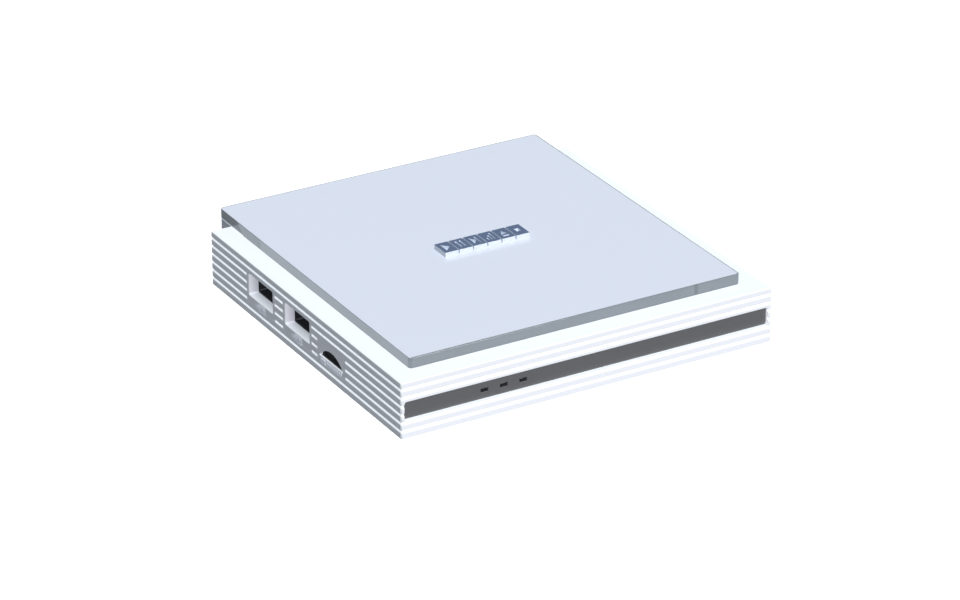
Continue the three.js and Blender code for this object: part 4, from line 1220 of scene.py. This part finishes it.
class MEDIA_OT_stage(bpy.types.Operator):
    """Set the table, the lamps and the camera"""

    bl_idname = "media_player.stage"
    bl_label = "Studio stage"

    def execute(self, context):
        stage = context.scene.player_stage
        context.scene.view_settings.view_transform = "Standard"
        table()
        even_sky(stage.sky)
        sun("overhead_panel", stage.overhead, 0.35, (-0.02, -0.1, 0.99), (0.96, 1.0, 1.0))
        sun("front_panel", stage.front, 0.35, (0.3, -0.93, 0.2), (1.0, 0.98, 1.0))
        turn, rise = stage.azimuth, stage.elevation
        level = math.cos(rise)
        back = Vector((math.sin(turn) * level, -math.cos(turn) * level, math.sin(rise)))
        right = Vector((math.cos(turn), math.sin(turn), 0))
        up = back.cross(right)
        camera = in_scene("camera", bpy.data.cameras.new("camera"))
        camera.data.lens = stage.lens
        camera.data.clip_end = 20
        aim = Vector((0, (FRONT + BODY_BACK) / 2, BODY_BOTTOM))
        place = aim + right * CAMERA_AIM[0] + up * CAMERA_AIM[1] + back * CAMERA_DISTANCE
        camera.location = place * MM
        camera.rotation_mode = "QUATERNION"
        camera.rotation_quaternion = Matrix((right, up, back)).transposed().to_quaternion()
        context.scene.camera = camera
        return {"FINISHED"}


GROUPS = (
    ("player_sizes", PlayerSizes),
    ("player_colours", PlayerColours),
    ("player_stage", PlayerStage),
)
OPERATORS = (
    MEDIA_OT_stage,
    MEDIA_OT_housing,
    MEDIA_OT_plate,
    MEDIA_OT_badge,
    MEDIA_OT_window,
    MEDIA_OT_base,
    MEDIA_OT_side_ports,
    MEDIA_OT_rear_ports,
    MEDIA_OT_electronics,
)


class MEDIA_PT_panel(bpy.types.Panel):
    """Sizes, colours and pieces of the media player"""

    bl_idname = "MEDIA_PT_panel"
    bl_label = "Media player"
    bl_space_type = "VIEW_3D"
    bl_region_type = "UI"
    bl_category = "Media player"

    def draw(self, context):
        for name, group in GROUPS:
            box = self.layout.box()
            for value in group.__annotations__:
                box.prop(getattr(context.scene, name), value)
        for operator in OPERATORS:
            self.layout.operator(operator.bl_idname)


def register():
    for name, group in GROUPS:
        bpy.utils.register_class(group)
        setattr(bpy.types.Scene, name, PointerProperty(type=group))
    for item in (*OPERATORS, MEDIA_PT_panel):
        bpy.utils.register_class(item)


def unregister():
    for item in (MEDIA_PT_panel, *reversed(OPERATORS)):
        bpy.utils.unregister_class(item)
    for name, group in reversed(GROUPS):
        delattr(bpy.types.Scene, name)
        bpy.utils.unregister_class(group)


def main():
    register()
    LOOKS["moulded group"] = moulded_group()
    LOOKS["metal group"] = brushed_group()
    bpy.ops.media_player.stage()
    bpy.ops.media_player.housing()
    bpy.ops.media_player.plate()
    bpy.ops.media_player.badge()
    bpy.ops.media_player.window()
    bpy.ops.media_player.base()
    bpy.ops.media_player.side_ports()
    bpy.ops.media_player.rear_ports()
    bpy.ops.media_player.electronics()


if __name__ == "__main__":
    main()
